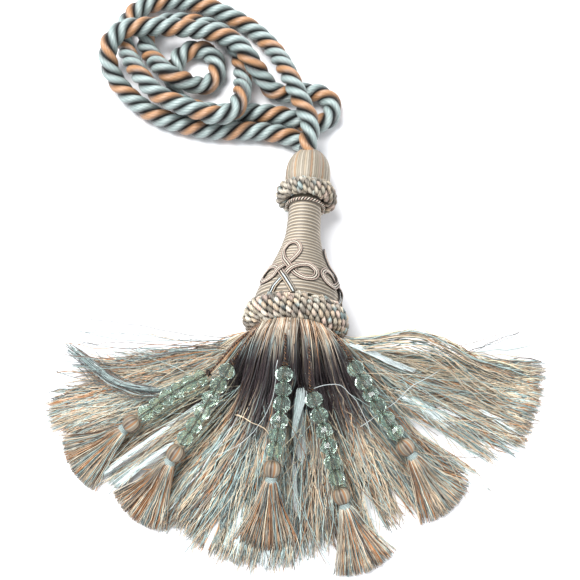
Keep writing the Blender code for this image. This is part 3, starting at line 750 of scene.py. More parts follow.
@dataclass
class TurnedPiece:
    """A spun outline with a UV map of turns and millimetres, and two tints a point.

    The outline is given as (place along the axis, radius), with a tint for each point.
    """

    name: str
    steps: int
    outline: list[tuple[float, float]]
    tints: list[Points]
    second: float = 0.85
    merged: float = 0.005

    def spin(self) -> bmesh.types.BMesh:
        """Spin the outline around the Y axis.

        Returns:
            The mesh in its own frame.
        """
        bm = bmesh.new()
        first, other = (bm.verts.layers.float_color.new(name) for name in ("tint", "second"))
        reach = bm.verts.layers.float.new("reach")
        travel = 0.0
        verts = []
        for (place, radius), tint in zip(self.outline, self.tints):
            vert = bm.verts.new((radius, place, 0.0))
            if verts:
                travel += (vert.co - verts[-1].co).length
            vert[first], vert[other] = (*tint, 1.0), (*(tint * self.second), 1.0)
            vert[reach] = travel
            verts.append(vert)
        edges = [bm.edges.new(pair) for pair in zip(verts, verts[1:])]
        bmesh.ops.spin(bm, geom=verts + edges, cent=(0.0, 0.0, 0.0), axis=(0.0, 1.0, 0.0),
                       angle=math.tau, steps=self.steps, use_merge=True, use_duplicate=False)
        bmesh.ops.remove_doubles(bm, verts=bm.verts, dist=self.merged)
        return bm

    def finish(self, bm: bmesh.types.BMesh, matrix: Matrix) -> bpy.types.Object:
        """Map, place and make the spun mesh.

        Args:
            bm: The spun mesh in its own frame, which is freed.
            matrix: Where it stands, in millimetres.

        Returns:
            The object at the origin.
        """
        uv = bm.loops.layers.uv.new("thread")
        reach = bm.verts.layers.float.get("reach")
        for face in bm.faces:
            turns = [math.atan2(-v.co.z, v.co.x) / math.tau % 1.0 for v in face.verts]
            if max(turns) - min(turns) > 0.5:
                turns = [t + 1.0 if t < 0.5 else t for t in turns]
            for loop, turn in zip(face.loops, turns):
                loop[uv].uv = (turn, loop.vert[reach])
        bmesh.ops.recalc_face_normals(bm, faces=bm.faces)
        if bm.calc_volume(signed=True) < 0.0:
            bmesh.ops.reverse_faces(bm, faces=bm.faces)
        bmesh.ops.transform(bm, matrix=Matrix.Scale(MM, 4) @ matrix, verts=bm.verts)
        mesh = bpy.data.meshes.new(self.name)
        bm.to_mesh(mesh)
        bm.free()
        mesh.shade_smooth()
        return shown(mesh)


@dataclass(frozen=True)
class LaidThreads:
    """Threads laid lengthwise side by side over a domed head, with painted shade between them."""

    threads: int
    columns: int
    rise: float
    order: tuple[Yarn, ...]
    bare_radius: float = 1.0
    plain_share: float = 0.0
    uneven: float = 0.0
    # Painted shade between the threads: the share of colour lost at each thread's edges.
    groove: float = 0.5
    second: float = 0.85

    def cover(self, name: str, outline: list[tuple[float, float]],
              matrix: Matrix) -> bpy.types.Object:
        """Make the head.

        Args:
            name: The object's name.
            outline: Points as (place along the axis, radius).
            matrix: Where it stands, in millimetres.

        Returns:
            The head.
        """
        piece = TurnedPiece(name, self.threads * self.columns, outline,
                            [Yarn.BEIGE.tint] * len(outline))
        bm = piece.spin()
        first, other = (bm.verts.layers.float_color.get(layer) for layer in ("tint", "second"))
        for vert in bm.verts:
            radius = math.hypot(vert.co.x, vert.co.z)
            thread = math.atan2(-vert.co.z, vert.co.x) / math.tau * self.threads
            number = round(thread)
            crown = abs(math.cos(math.pi * thread))
            if radius > self.bare_radius:
                wider = (radius + self.rise * (crown - 0.5)) / radius
                vert.co.x *= wider
                vert.co.z *= wider
            tint = (self.order[number % len(self.order)].tint * (1.0 - self.plain_share)
                    + Yarn.BEIGE.tint * self.plain_share)
            tint = tint * (1.0 - self.uneven * (1.0 - number * 7 % 5 / 4))
            # Painted shade: each thread darkens towards its edges, between the threads.
            tint = tint * (1.0 - self.groove + self.groove * crown)
            vert[first] = (*np.minimum(tint, 1.0), 1.0)
            vert[other] = (*(tint * self.second), 1.0)
        return piece.finish(bm, matrix)


# ------------------------------------------------ head, wrap and ruffs


@dataclass
class WoundHead:
    """The domed head, whose outline runs from its foot to its crown."""

    spacing: float = 0.9
    outline: Table = (
        (80.9, 0.0), (80.9, 11.0), (84.6, 12.55), (88.6, 12.85), (93.6, 12.65), (98.6, 11.45),
        (102.6, 9.05), (105.2, 5.9), (106.5, 2.9), (106.8, 0.0))
    threads: LaidThreads = LaidThreads(66, 4, 0.22, yarns(
        "CREAM STONE BEIGE PINK CREAM APRICOT BEIGE STONE CREAM STONE TAN CREAM STONE APRICOT"),
        plain_share=0.4, uneven=0.16, groove=0.4, second=0.9)

    def build(self) -> None:
        """Make the head."""
        rows = rounded(self.outline[1:], self.spacing)
        head = self.threads.cover("wound_head", [self.outline[0], *rows[:-1], self.outline[-1]],
                                  AXIS.matrix())
        dressed(head, WOUND_YARN, "head_threads", "tassel_head")


@dataclass
class CordWrap:
    """The turned neck and flare, wrapped in a repeat of four fine cords."""

    pitch: float = 0.53
    rise: float = 0.24
    steps: int = 64
    outline: Table = (
        (8.0, 22.3), (10.8, 23.0), (15.0, 22.0), (20.0, 20.2), (26.0, 17.8), (32.0, 15.5),
        (38.0, 13.2), (44.0, 11.3), (50.0, 9.9), (58.0, 9.3), (70.6, 8.9))
    order: tuple[Yarn, ...] = yarns("CREAM TAN STONE STONE")
    lead_level: float = 1.25
    level: float = 0.92
    # Painted shade in the grooves between the cords: the groove rows keep this share of their
    # colour.
    painted_groove_shade: float = 0.35
    # The plain ends that lie hidden under the lower ruff and in the head.
    foot: Table = ((-7.6, 0.0), (-7.6, 13.5), (7.6, 13.5))
    top: Table = ((71.0, 8.4), (82.2, 8.4), (82.2, 0.0))

    def build(self) -> None:
        """Make the wrap, with a row of points on each crown and in each groove, and painted shade
        in the grooves.
        """
        line = rounded(self.outline, self.pitch / 3)
        outline, tints = list(self.foot), [Yarn.BEIGE.tint] * 3
        for row, (place, radius) in enumerate(line[:len(line) // 3 * 3]):
            rib = row // 3 % len(self.order)
            tint = self.order[rib].tint * (self.level if rib else self.lead_level)
            groove = row % 3 == 0
            outline.append((place, radius + (-self.rise if groove else self.rise / 2)))
            # The groove rows get painted shade.
            tints.append(tint * (self.painted_groove_shade if groove else 1.0))
        piece = TurnedPiece("cord_wrap", self.steps, [*outline, *self.top],
                            [*tints, *[Yarn.BEIGE.tint] * 3])
        dressed(piece.finish(piece.spin(), AXIS.matrix()), WOUND_YARN, "wrap_cord", "wrapped_mold")


@dataclass(frozen=True)
class RuffBlend:
    """The yarns of a ruff's knobs, which change gradually from the left side to the right."""

    left: tuple[Yarn, ...]
    right: tuple[Yarn, ...]
    knobs: int
    spread: float

    def tints(self, around: Points, loop: Points, rng: np.random.Generator) -> Points:
        """Colour a ply, knob by knob.

        Args:
            around: The angle around the axis at each point.
            loop: The loop at each point.
            rng: Where the unevenness comes from.

        Returns:
            The tints, one a point.
        """
        place = loop * self.knobs
        first = np.floor(place).astype(int)
        count = int(first.max()) + 2
        share = smooth((np.sin(around) + 0.1) / 0.9)[:, None]
        ease = smooth((place - first - 0.3) / 0.4)[:, None]
        shade = rng.normal(1.0, self.spread, (count, 1))
        colours = []
        for side in (self.left, self.right):
            dyed = np.array([yarn.tint for yarn in side])[rng.integers(len(side), size=count)]
            dyed = dyed * shade
            colours.append(dyed[first] * (1.0 - ease) + dyed[first + 1] * ease)
        return np.clip(colours[0] * (1.0 - share) + colours[1] * share, 0.0, 1.0)


@dataclass
class WoundRuff:
    """A ring around the axis, wound in slanted loops of a two-ply cord."""

    name: str
    node: str
    place: float
    radius: float
    half_depth: float
    half_height: float
    loops: int
    cord: float
    cord_lay: float
    seed: int
    blend: RuffBlend
    points_a_loop: int
    sides: int
    uneven: float
    swell: float

    def build(self) -> None:
        """Wind the ring."""
        rng = np.random.default_rng(self.seed)
        steps = self.loops * self.points_a_loop
        share = np.arange(steps) / steps
        around = math.tau * share
        wound = math.tau * self.loops * share
        wobble = np.interp(share * self.loops, np.arange(self.loops + 1),
                           np.resize(rng.normal(0.0, self.uneven, self.loops), self.loops + 1))
        depth = self.half_depth - self.cord / 2 + wobble * 0.5
        height = self.half_height - self.cord / 2 + wobble
        middle = AXIS.place(around, self.place + height * np.sin(wound),
                            self.radius + depth * np.cos(wound))
        outward = unit(AXIS.direction(around, np.sin(wound), np.cos(wound)))
        twists = round(length_of(np.vstack([middle, middle[:1]])) / self.cord_lay)
        tangents = unit(np.roll(middle, -1, axis=0) - np.roll(middle, 1, axis=0))
        frames = outward, unit(np.cross(tangents, outward))
        reach = self.cord / 4
        mesh = ThreadMesh(self.name)
        for ply in range(2):
            turn = math.tau * (ply / 2 - twists * share)
            tint = self.blend.tints(around, share * self.loops, rng)
            radii = reach * (0.96 + self.swell * np.cos(turn))
            mesh.twist(middle, frames, turn, reach, radii, tint, tint * 0.8, self.sides,
                       looped=True)
        dressed(mesh.make(), KNOT_YARN, f"{self.node}_cord", self.node)


RUFFS = (
    WoundRuff("upper_loops", "upper_ruff", 76.3, 13.6, 4.1, 5.6, 30, 3.9, 5.6, 5, RuffBlend(
        yarns("PALE_BLUE CREAM BEIGE STONE"), yarns("PINK TAN BEIGE STONE"), 8, 0.2),
        points_a_loop=26, sides=8, uneven=0.5, swell=0.3),
    WoundRuff("knotted_band", "lower_ruff", 0.0, 21.5, 7.1, 7.7, 50, 3.8, 6.0, 6, RuffBlend(
        yarns("CREAM BEIGE PALE_BLUE TAN PINK STONE BEIGE PINK CREAM STONE"),
        yarns("BEIGE TAN PALE_BLUE PINK STONE TAN BLUE TAN STONE"), 12, 0.3),
        points_a_loop=36, sides=6, uneven=0.7, swell=0.45),
)


@dataclass
class NeckCord:
    """The thin two-ply ring under the upper ruff."""

    place: float = 69.5
    radius: float = 10.4
    thickness: float = 1.8
    twists: int = 20
    steps: int = 240

    def build(self) -> None:
        """Make the ring."""
        around = math.tau * np.arange(self.steps) / self.steps
        still, full = np.zeros(self.steps), np.ones(self.steps)
        frames = AXIS.direction(around, still, full), AXIS.direction(around, full, still)
        middle = AXIS.place(around, self.place, self.radius)
        reach = self.thickness / 4
        mesh = ThreadMesh("neck_twist")
        # Both plies are painted lighter than their yarns: painted light against the upper ruff's
        # shadow.
        for ply, yarn in enumerate(yarns("PINK CREAM")):
            mesh.twist(middle, frames, self.twists * around + math.pi * ply, reach, reach * 1.15,
                       yarn.tint * 1.45, yarn.tint * 1.2, 6, looped=True)
        dressed(mesh.make(), FINE_CORD, "neck_cord", "neck_cord")


@dataclass
class Scrolls:
    """Looped motifs of three fine cords, sewn on the flare."""

    wrap: CordWrap
    middles: Spot = (-21.0, 83.0, 210.0)
    place: float = 23.7
    radius: float = 19.7
    cord: float = 0.53
    apart: float = 1.12
    over: float = 0.8
    crossing: float = 1.5
    # From a foot to the top loop's middle: across, along, and lifted on the way out and back.
    half: tuple[tuple[float, float, int, int], ...] = (
        (-5.4, -16.0, 0, 0), (-2.7, -10.9, 0, 0), (0.0, -6.2, 0, 1), (3.2, -1.9, 1, 0),
        (7.5, 1.4, 0, 0), (12.5, 1.9, 0, 0), (16.0, -1.8, 0, 0), (14.3, -6.2, 0, 0),
        (10.0, -7.4, 0, 0), (6.2, -5.4, 0, 0), (3.2, -1.9, 0, 1), (0.0, 2.4, 1, 0),
        (-4.0, 7.4, 0, 0), (-6.3, 12.5, 0, 0), (-4.0, 16.6, 0, 0), (0.0, 17.8, 0, 0))
    cords: tuple[Yarn, ...] = yarns("PINK CREAM PINK")
    levels: Spot = (0.88, 1.14, 0.88)
    tails: tuple[Yarn, ...] = yarns("TAN FLOSS STONE")
    tail_share: float = 0.84

    def build(self) -> None:
        """Lay each motif over the wrap."""
        out = [(x, y, lift * self.crossing) for x, y, lift, _ in self.half]
        back = [(-x, y, lift * self.crossing) for x, y, _, lift in reversed(self.half[:-1])]
        line = curve_through(out + back, 0.8)
        way = unit(np.gradient(line[:, :2], axis=0))
        places, radii = zip(*self.wrap.outline)
        ends = np.abs(np.linspace(-1.0, 1.0, len(line)))
        tail = smooth((ends - self.tail_share) / 0.03)[:, None]
        for number, middle in enumerate(self.middles, start=1):
            mesh = ThreadMesh(f"scroll_cords_{number}")
            for offset, yarn, level, end in zip((-1, 0, 1), self.cords, self.levels, self.tails):
                tint = np.clip(yarn.tint * level, 0.0, 1.0) * (1.0 - tail) + end.tint * tail
                aside = offset * self.apart
                along = self.place + line[:, 1] + way[:, 0] * aside
                height = np.interp(along, places, radii) + self.over + self.cord * 0.3 + line[:, 2]
                angle = math.radians(middle) + (line[:, 0] - way[:, 1] * aside) / self.radius
                path = AXIS.place(angle, along, height)
                mesh.add(path[None], self.cord, tint, tint * 0.8, 8,
                         AXIS.direction(angle, 0.0, np.ones(len(line))))
            dressed(mesh.make(), FINE_CORD, "scroll_cord", f"scroll_{number}")


# ------------------------------------------------ the fringe


@dataclass(frozen=True)
class Palette:
    """The share of each yarn in a lock, how light they are and how uneven."""

    shares: dict[Yarn, float]
    level: float = 1.35
    spread: float = 0.3

    @classmethod
    def of(cls, *look: float, **shares: float) -> "Palette":
        """Name the yarns by their shares, after the level and the spread."""
        return cls({Yarn[name]: share for name, share in shares.items()}, *look)


MIXED = Palette.of(TAN=0.16, BEIGE=0.24, STONE=0.1, COPPER=0.07, BLUE=0.17, PALE_BLUE=0.12,
                   UMBER=0.07, SLATE=0.07)
WARM = Palette.of(TAN=0.24, BEIGE=0.22, STONE=0.1, COPPER=0.13, BLUE=0.12, PALE_BLUE=0.07,
                  RUST=0.03, UMBER=0.09)
COOL = Palette.of(BLUE=0.26, PALE_BLUE=0.2, SLATE=0.12, BEIGE=0.24, TAN=0.14, COPPER=0.04)
TRESS = Palette.of(0.88, SLATE=0.33, BLUE=0.3, PALE_BLUE=0.13, FLOSS=0.04, UMBER=0.2)
# The roots' tints, lighter than the rest: partly the threads' own warm colours, partly painted
# highlight.
HIGHLIT_ROOTS = Palette.of(1.15, 0.25, CREAM=0.3, APRICOT=0.2, TAN=0.25, COPPER=0.13, UMBER=0.12)
FLOSS = Palette.of(1.0, 0.05, FLOSS=0.8, PALE_BLUE=0.2)
GREY_WISPS = Palette.of(1.0, SLATE=0.4, BLUE=0.3, UMBER=0.15, COPPER=0.15)
SKIRT = Palette.of(1.06, 0.34, TAN=0.25, BEIGE=0.2, COPPER=0.17, BLUE=0.13, CREAM=0.06,
                   STONE=0.07, UMBER=0.08, SLATE=0.04)


@dataclass(frozen=True)
class Draw:
    """Draws uneven numbers for a lock, one for each strand, as a column."""

    count: int
    rng: np.random.Generator

    def bell(self, size: float) -> Points:
        """Numbers that crowd around 0."""
        return self.rng.normal(0.0, size, (self.count, 1))

    def even(self, low: float, high: float) -> Points:
        """Numbers spread evenly between two others."""
        return self.rng.uniform(low, high, (self.count, 1))

    def trailing(self, size: float) -> Points:
        """Numbers that are mostly small, and seldom a few times the size."""
        return self.rng.exponential(size, (self.count, 1))

    def tints(self, palette: Palette) -> Points:
        """Choose a yarn for each strand.

        Args:
            palette: The yarns to choose from.

        Returns:
            The tints, as strand, point, colour.
        """
        dyes = np.array([yarn.tint for yarn in palette.shares])
        shares = np.array(list(palette.shares.values()))
        chosen = dyes[self.rng.choice(len(dyes), self.count, p=shares / shares.sum())]
        level = self.rng.normal(palette.level, palette.spread, (self.count, 1))
        return np.clip(chosen * level, 0.02, 1.0)[:, None]

    def crimp(self, travel: Points, size: float) -> Points:
        """Make a sideways wander for each strand, in waves of 9 to 24 mm and of half that.

        Args:
            travel: Millimetres along each strand.
            size: The wander's size.

        Returns:
            The wander at each point, as strand, point.
        """
        total = np.zeros((self.count, travel.shape[-1]))
        for share, scale in ((1.0, 1.0), (0.6, 0.5)):
            wave = self.even(9.0, 24.0) * scale
            total += share * np.sin(math.tau * (travel / wave + self.even(0.0, 1.0)))
        return total * size * self.even(0.4, 1.3)


FAN_CENTRE = shifted((3.0, -29.0, 0.0))
# How high the fringe lies at each distance from the middle of its fan.
PILE = ((0.0, 51.0), (7.0, 50.0), (14.0, 45.5), (24.0, 38.0), (38.0, 28.5), (56.0, 19.5),
        (85.0, 9.5), (110.0, 5.0), (130.0, 3.0), (150.0, 2.0))


def read(table: Table, places: Points) -> Points:
    """Read a table of (place, value) at some places."""
    return np.interp(places, *zip(*table))


@dataclass(frozen=True)
class Parting:
    """A gap between the fringe's locks, where the table shows."""

    direction: float
    half_width: float
    near: float
    far: float
    ramp: float = 12.0
    thinning: float = 0.85
    edge: float = 4.5

    def opened(self, plan: Points) -> tuple[Points, Points]:
        """Push strands out of the gap, and let the pile thin out beside it.

        Args:
            plan: The strands' plan points.

        Returns:
            The plan points beside the gap, and the share of its height that the pile keeps.
        """
        ahead, left = heading(math.radians(self.direction))
        offset = plan - FAN_CENTRE[:2]
        along, aside = offset @ ahead, offset @ left
        share = smooth((along - self.near) / self.ramp) * smooth((self.far - along) / self.ramp)
        side = np.where((aside * (share + 1e-6)).sum(axis=1, keepdims=True) > 0, 1.0, -1.0)
        gap = np.maximum(aside * side, 0.0)
        beside = gap + self.half_width * np.exp(-gap / (3.0 * self.half_width))
        moved = (beside * side - aside) * share
        kept = 1.0 - self.thinning * share * np.exp(-(gap / self.edge) ** 2)
        return plan + left * moved[..., None], kept


@dataclass(frozen=True)
class StringRow:
    """One beaded string, by plan points of its first bead, a bend and its small tassel."""

    ruff: float
    first: tuple[float, float]
    bend: tuple[float, float]
    head: tuple[float, float]
    skirt: float
    pressed_length: float = 44.0
    pressed_share: float = 0.4

    def line(self) -> Points:
        """The string's plan line, in short steps."""
        points = [(*point, 0.0) for point in (self.first, self.bend, self.head)]
        return curve_through(shifted(points), 2.0)

    def pressed(self, plan: Points) -> Points:
        """The share of its height that the fringe keeps under this string's small skirt.

        Args:
            plan: The fringe's plan points.

        Returns:
            The share at each point.
        """
        offset = plan - shifted((*self.head, 0.0))[:2]
        along, aside = (offset @ way for way in heading(math.radians(self.skirt)))
        inside = (smooth((along + 2.0) / 8.0) * smooth((self.pressed_length - along) / 8.0)
                  * smooth((0.6 * along + 5.0 - np.abs(aside)) / 5.0))
        return 1.0 - self.pressed_share * inside


STRINGS = (
    StringRow(-63.0, (-44.0, -50.5), (-60.5, -58.5), (-83.5, -73.5), 146.0),
    StringRow(-50.0, (-30.5, -46.5), (-42.5, -65.0), (-60.5, -90.5), 124.0),
    StringRow(-12.0, (-2.6, -49.0), (-4.2, -68.0), (-9.4, -97.0), 94.0),
    StringRow(16.0, (10.8, -61.0), (18.0, -81.0), (26.0, -110.5), 69.0),
    StringRow(52.0, (31.5, -45.5), (41.5, -61.5), (59.5, -86.0), 51.0),
)


@dataclass
class FringeFan:
    """The spread fringe: locks of thread that fan out over the table from under the ruff."""

    radius: float = 0.3
    points: int = 19
    locks: int = 104
    strands: int = 46
    pieces: int = 4
    seed: int = 29
    first_angle: float = 6.1
    last_angle: float = 174.0
    face_place: float = -7.8
    face_radius: float = 24.0
    root_spread: float = 1.6
    level_spread: float = 0.09
    # How far a lock's threads splay, in degrees, and how ragged its ends are.
    splays: tuple[float, float] = (0.7, 2.1)
    ragged_side: float = 3.2
    ragged_more_in_middle: float = 5.8
    lock_bend: float = 4.0
    strand_bend: float = 4.6
    crimp_aside: float = 0.85
    crimp_up: float = 0.45
    tip_share: float = 0.6
    # The plum shade: its directions, and where it starts and ends along a thread.
    plum_angles: tuple[float, float] = (28.0, 153.0)
    plum_places: tuple[float, float] = (7.0, 54.0)
    # How far from the root the middle locks take the lighter root tints, partly their own warm
    # colours and partly painted highlight.
    warm_highlit_roots: float = 12.0
    # A lock's share of the pile's height, by turns.
    layers: tuple[float, ...] = (0.04, 0.62, 0.3, 0.88, 0.48, 1.0, 0.18, 0.75)
    # Distance from the fan's middle, and the share of its height that a side lock loses there.
    side_droop: Table = ((14.0, 0.0), (30.0, 0.55), (60.0, 0.42))
    # How far out the threads leave their roots' heights and their roots' plan places.
    falls_within: float = 26.0
    spreads_within: float = 46.0
    # Direction clockwise from +X, and how far the threads reach there.
    reach: Table = (
        (3.0, 90.0), (5.0, 126.0), (7.0, 136.0), (13.0, 140.0), (23.0, 136.0), (31.0, 124.0),
        (42.0, 112.0), (62.0, 108.0), (76.0, 110.0), (88.0, 117.0), (107.0, 120.0), (121.0, 118.0),
        (133.0, 121.0), (146.0, 127.0), (158.0, 134.0), (164.0, 140.0), (165.8, 139.0),
        (167.0, 128.0), (168.2, 118.0), (170.0, 109.0), (172.5, 99.0), (174.5, 86.0), (176.5, 62.0))
    # Direction and how many threads lie there, so that some gaps stay open.
    crowd: Table = (
        (2.0, 1.0), (5.0, 1.5), (14.0, 1.5), (22.0, 1.1), (27.0, 0.42), (35.0, 0.3), (42.0, 0.6),
        (50.0, 1.1), (58.0, 0.7), (64.0, 0.4), (70.0, 0.9), (80.0, 0.8), (84.0, 0.5),
        (90.0, 0.5), (93.0, 0.9), (104.0, 1.3), (116.0, 1.3), (124.0, 0.9), (130.0, 0.7),
        (140.0, 1.0), (152.0, 1.1), (160.0, 1.5), (172.0, 1.5), (176.0, 1.0), (178.0, 0.5))
    partings: tuple[Parting, ...] = (
        Parting(87.6, 3.6, 24.0, 70.0), Parting(90.4, 1.5, 56.0, 96.0),
        Parting(65.5, 2.6, 80.0, 140.0), Parting(145.6, 2.3, 42.0, 160.0),
        Parting(140.0, 1.5, 84.0, 150.0), Parting(156.0, 0.9, 90.0, 114.0),
        Parting(29.0, 1.3, 60.0, 86.0), Parting(33.5, 3.4, 70.0, 150.0),
        Parting(24.0, 1.1, 76.0, 108.0), Parting(57.0, 1.6, 88.0, 150.0),
        Parting(113.5, 1.4, 96.0, 150.0), Parting(98.5, 1.5, 100.0, 150.0))

    def build(self) -> None:
        """Grow the locks, in a few pieces from right to left."""
        rng = np.random.default_rng(self.seed)
        angles = np.linspace(self.first_angle, self.last_angle, 600)
        grown = np.cumsum(read(self.crowd, angles))
        grown = (grown - grown[0]) / (grown[-1] - grown[0])
        middles = np.interp((np.arange(self.locks) + 0.5) / self.locks, grown, angles)
        for piece, group in enumerate(np.array_split(np.arange(self.locks), self.pieces)):
            mesh = ThreadMesh(f"fringe_{piece + 1}")
            for lock in group:
                self._grow(mesh, middles[lock], self.layers[lock % len(self.layers)], rng)
            dressed(mesh.make(), FRINGE_YARN, "fringe", *(() if piece else ("skirt_fringe",)))

    def _grow(self, mesh: ThreadMesh, middle: float, layer: float,
              rng: np.random.Generator) -> None:
        """Grow one lock.

        Args:
            mesh: What the strands are added to.
            middle: The lock's direction in degrees.
            layer: Its share of the pile's height.
            rng: Where the unevenness comes from.
        """
        crowd = float(read(self.crowd, middle))
        draw = Draw(round(self.strands * min(1.0, 0.3 + 0.75 * crowd)), rng)
        splay = draw.bell(1.0)
        sideways = abs(math.cos(math.radians(middle))) ** 6
        angle = np.radians(middle + splay * rng.uniform(*self.splays) * (1.0 - 0.35 * sideways))
        level = np.clip(layer + draw.bell(self.level_spread), 0.0, 1.04)
        bulk = math.sin(math.radians(middle)) ** 2
        ragged = self.ragged_side + self.ragged_more_in_middle * bulk
        reach = read(self.reach, np.degrees(angle))
        reach = reach - draw.trailing(ragged) + rng.normal(0.0, 0.4 * ragged)
        reach = reach + draw.even(0.0, 0.8 * ragged) * (draw.even(0.0, 1.0) < 0.1)
        root = self._roots(middle, level, sideways, draw)
        outward, beside = heading(angle)
        start = np.linalg.norm((root - FAN_CENTRE)[:, :, :2], axis=2)
        share = np.linspace(0.0, 1.0, self.points)[None]
        distance = start + (reach - start) * share
        travel = distance - start
        bend = rng.normal(0.0, self.lock_bend) + draw.bell(self.strand_bend)
        spread = splay * rng.uniform(0.2, 1.0)
        aside = bend * share ** 2 - 0.8 * spread * np.sin(math.pi * share)
        aside = aside + draw.crimp(distance, self.crimp_aside) * smooth((share - 0.12) / 0.4)
        plan = FAN_CENTRE[:2] + outward * distance[..., None] + beside * aside[..., None]
        begin = root[:, :, :2] - (FAN_CENTRE[:2] + outward * start[..., None])
        plan = plan + begin * (1.0 - smooth(travel / self.spreads_within)[..., None])
        top = read(PILE, distance) * (1.0 - sideways * read(self.side_droop, distance))
        for parting in self.partings:
            plan, kept = parting.opened(plan)
            top = top * kept
        for row in STRINGS:
            top = top * row.pressed(plan)
        ease = smooth(travel / self.falls_within)
        lying = level * top + draw.crimp(distance, self.crimp_up)
        height = root[:, :, 2] * (1.0 - ease) + lying * ease
        path = np.dstack([plan, np.maximum(height, self.radius + 0.02)])
        tints = self._tints(middle, level, travel, draw)
        taper = np.r_[np.ones(self.points - 1), self.tip_share]
        radii = self.radius * draw.even(0.75, 1.15) * taper
        mesh.add(path, radii, tints)

    def _roots(self, middle: float, level: Points, sideways: float, draw: Draw) -> Points:
        """Place a lock's roots on the heading's face under the ruff.

        Args:
            middle: The lock's direction in degrees.
            level: Each strand's share of the pile's height.
            sideways: How far the lock points to a side, from 0 to 1.
            draw: Draws the strands' unevenness.

        Returns:
            The roots, as strand, point, xyz.
        """
        across = np.cos(np.radians(middle)) * self.face_radius * 0.85 + draw.bell(self.root_spread)
        across = np.clip(across, -self.face_radius, self.face_radius)
        tall = np.sqrt(np.maximum(self.face_radius ** 2 - across ** 2, 4.0))
        up = (2.0 * level * (1.0 - 0.45 * sideways) - 1.0) * tall
        return AXIS.place(np.arctan2(across, up), self.face_place, np.hypot(across, up))

    def _tints(self, middle: float, level: Points, travel: Points, draw: Draw) -> Points:
        """Colour a lock, which is dark plum under the ruff in the fan's middle, with lighter warm
        roots there that are partly painted highlight.

        Args:
            middle: The lock's direction in degrees.
            level: Each strand's share of the pile's height.
            travel: Millimetres from the root, as strand, point.
            draw: Draws the strands' unevenness.

        Returns:
            The tints, as strand, point, colour.
        """
        rng = draw.rng
        tints = draw.tints((MIXED, WARM, MIXED, COOL, MIXED)[rng.integers(5)])
        first, last = self.plum_angles
        inner = smooth((middle - first) / 12.0) * smooth((last - middle) / 10.0)
        inner = inner * smooth((level - 0.2) / 0.25)
        wander = draw.bell(1.0)
        near, far = self.plum_places
        dark = (inner * smooth((travel - near - 2.5 * wander) / 9.0)
                * smooth((far - travel + 7.0 * wander) / 20.0))
        dark = dark * rng.choice([1.0, 0.94, 0.55], (draw.count, 1), p=[0.72, 0.22, 0.06])
        # Near the roots in the fan's middle the threads take lighter warm tints, partly their own
        # colours and partly painted highlight; each root is then set darker or lighter at random.
        rooted = inner * smooth((self.warm_highlit_roots - travel) / 8.0)
        highlit_share = 0.8 * rooted[..., None]
        tints = tints * (1.0 - highlit_share) + draw.tints(HIGHLIT_ROOTS) * highlit_share
        tints = tints * (1.0 - rooted * draw.even(-0.2, 0.55))[..., None]
        plum = Yarn.PLUM.tint * draw.even(0.5, 2.2)[..., None]
        return tints * (1.0 - dark[..., None]) + plum * dark[..., None]


@dataclass(frozen=True)
class GuidedLock:
    """A lock that follows its own line over the pile."""

    points: tuple[Spot, ...]
    strands: int
    palette: Palette
    width: float
    splay: float
    crimp: float = 0.3
    radius: float = 0.28
    ragged: float = 0.1
    steps: int = 17

    def grow(self, mesh: ThreadMesh, rng: np.random.Generator) -> None:
        """Add the lock's strands to a mesh.

        Args:
            mesh: What the strands are added to.
            rng: Where the unevenness comes from.
        """
        draw = Draw(self.strands, rng)
        line = curve_through(shifted(self.points), 1.0)
        places = np.linspace(0, len(line) - 1, self.steps)
        line = np.stack([np.interp(places, np.arange(len(line)), way) for way in line.T], axis=1)
        side = unit(np.cross(unit(np.gradient(line, axis=0)), UP))
        share = np.linspace(0.0, 1.0, self.steps)[None]
        travel = share * length_of(line)
        across, lift = draw.bell(0.5), draw.bell(0.35)
        wide = self.width * (0.5 + share * self.splay)
        aside = across * wide + draw.crimp(travel, self.crimp)
        rise = lift * wide * 0.5 + draw.crimp(travel, self.crimp * 0.5)
        path = line[None] + side[None] * aside[..., None] + UP * rise[..., None]
        path[..., 2] = np.maximum(path[..., 2], self.radius + 0.02)
        first, last = draw.even(0.0, 0.8 * self.ragged), draw.even(1.0 - self.ragged, 1.0)
        kept = (first + (last - first) * share) * (self.steps - 1)
        path = np.array([np.transpose([np.interp(places, np.arange(self.steps), way)
                                       for way in strand.T]) for places, strand in zip(kept, path)])
        mesh.add(path, self.radius, draw.tints(self.palette))


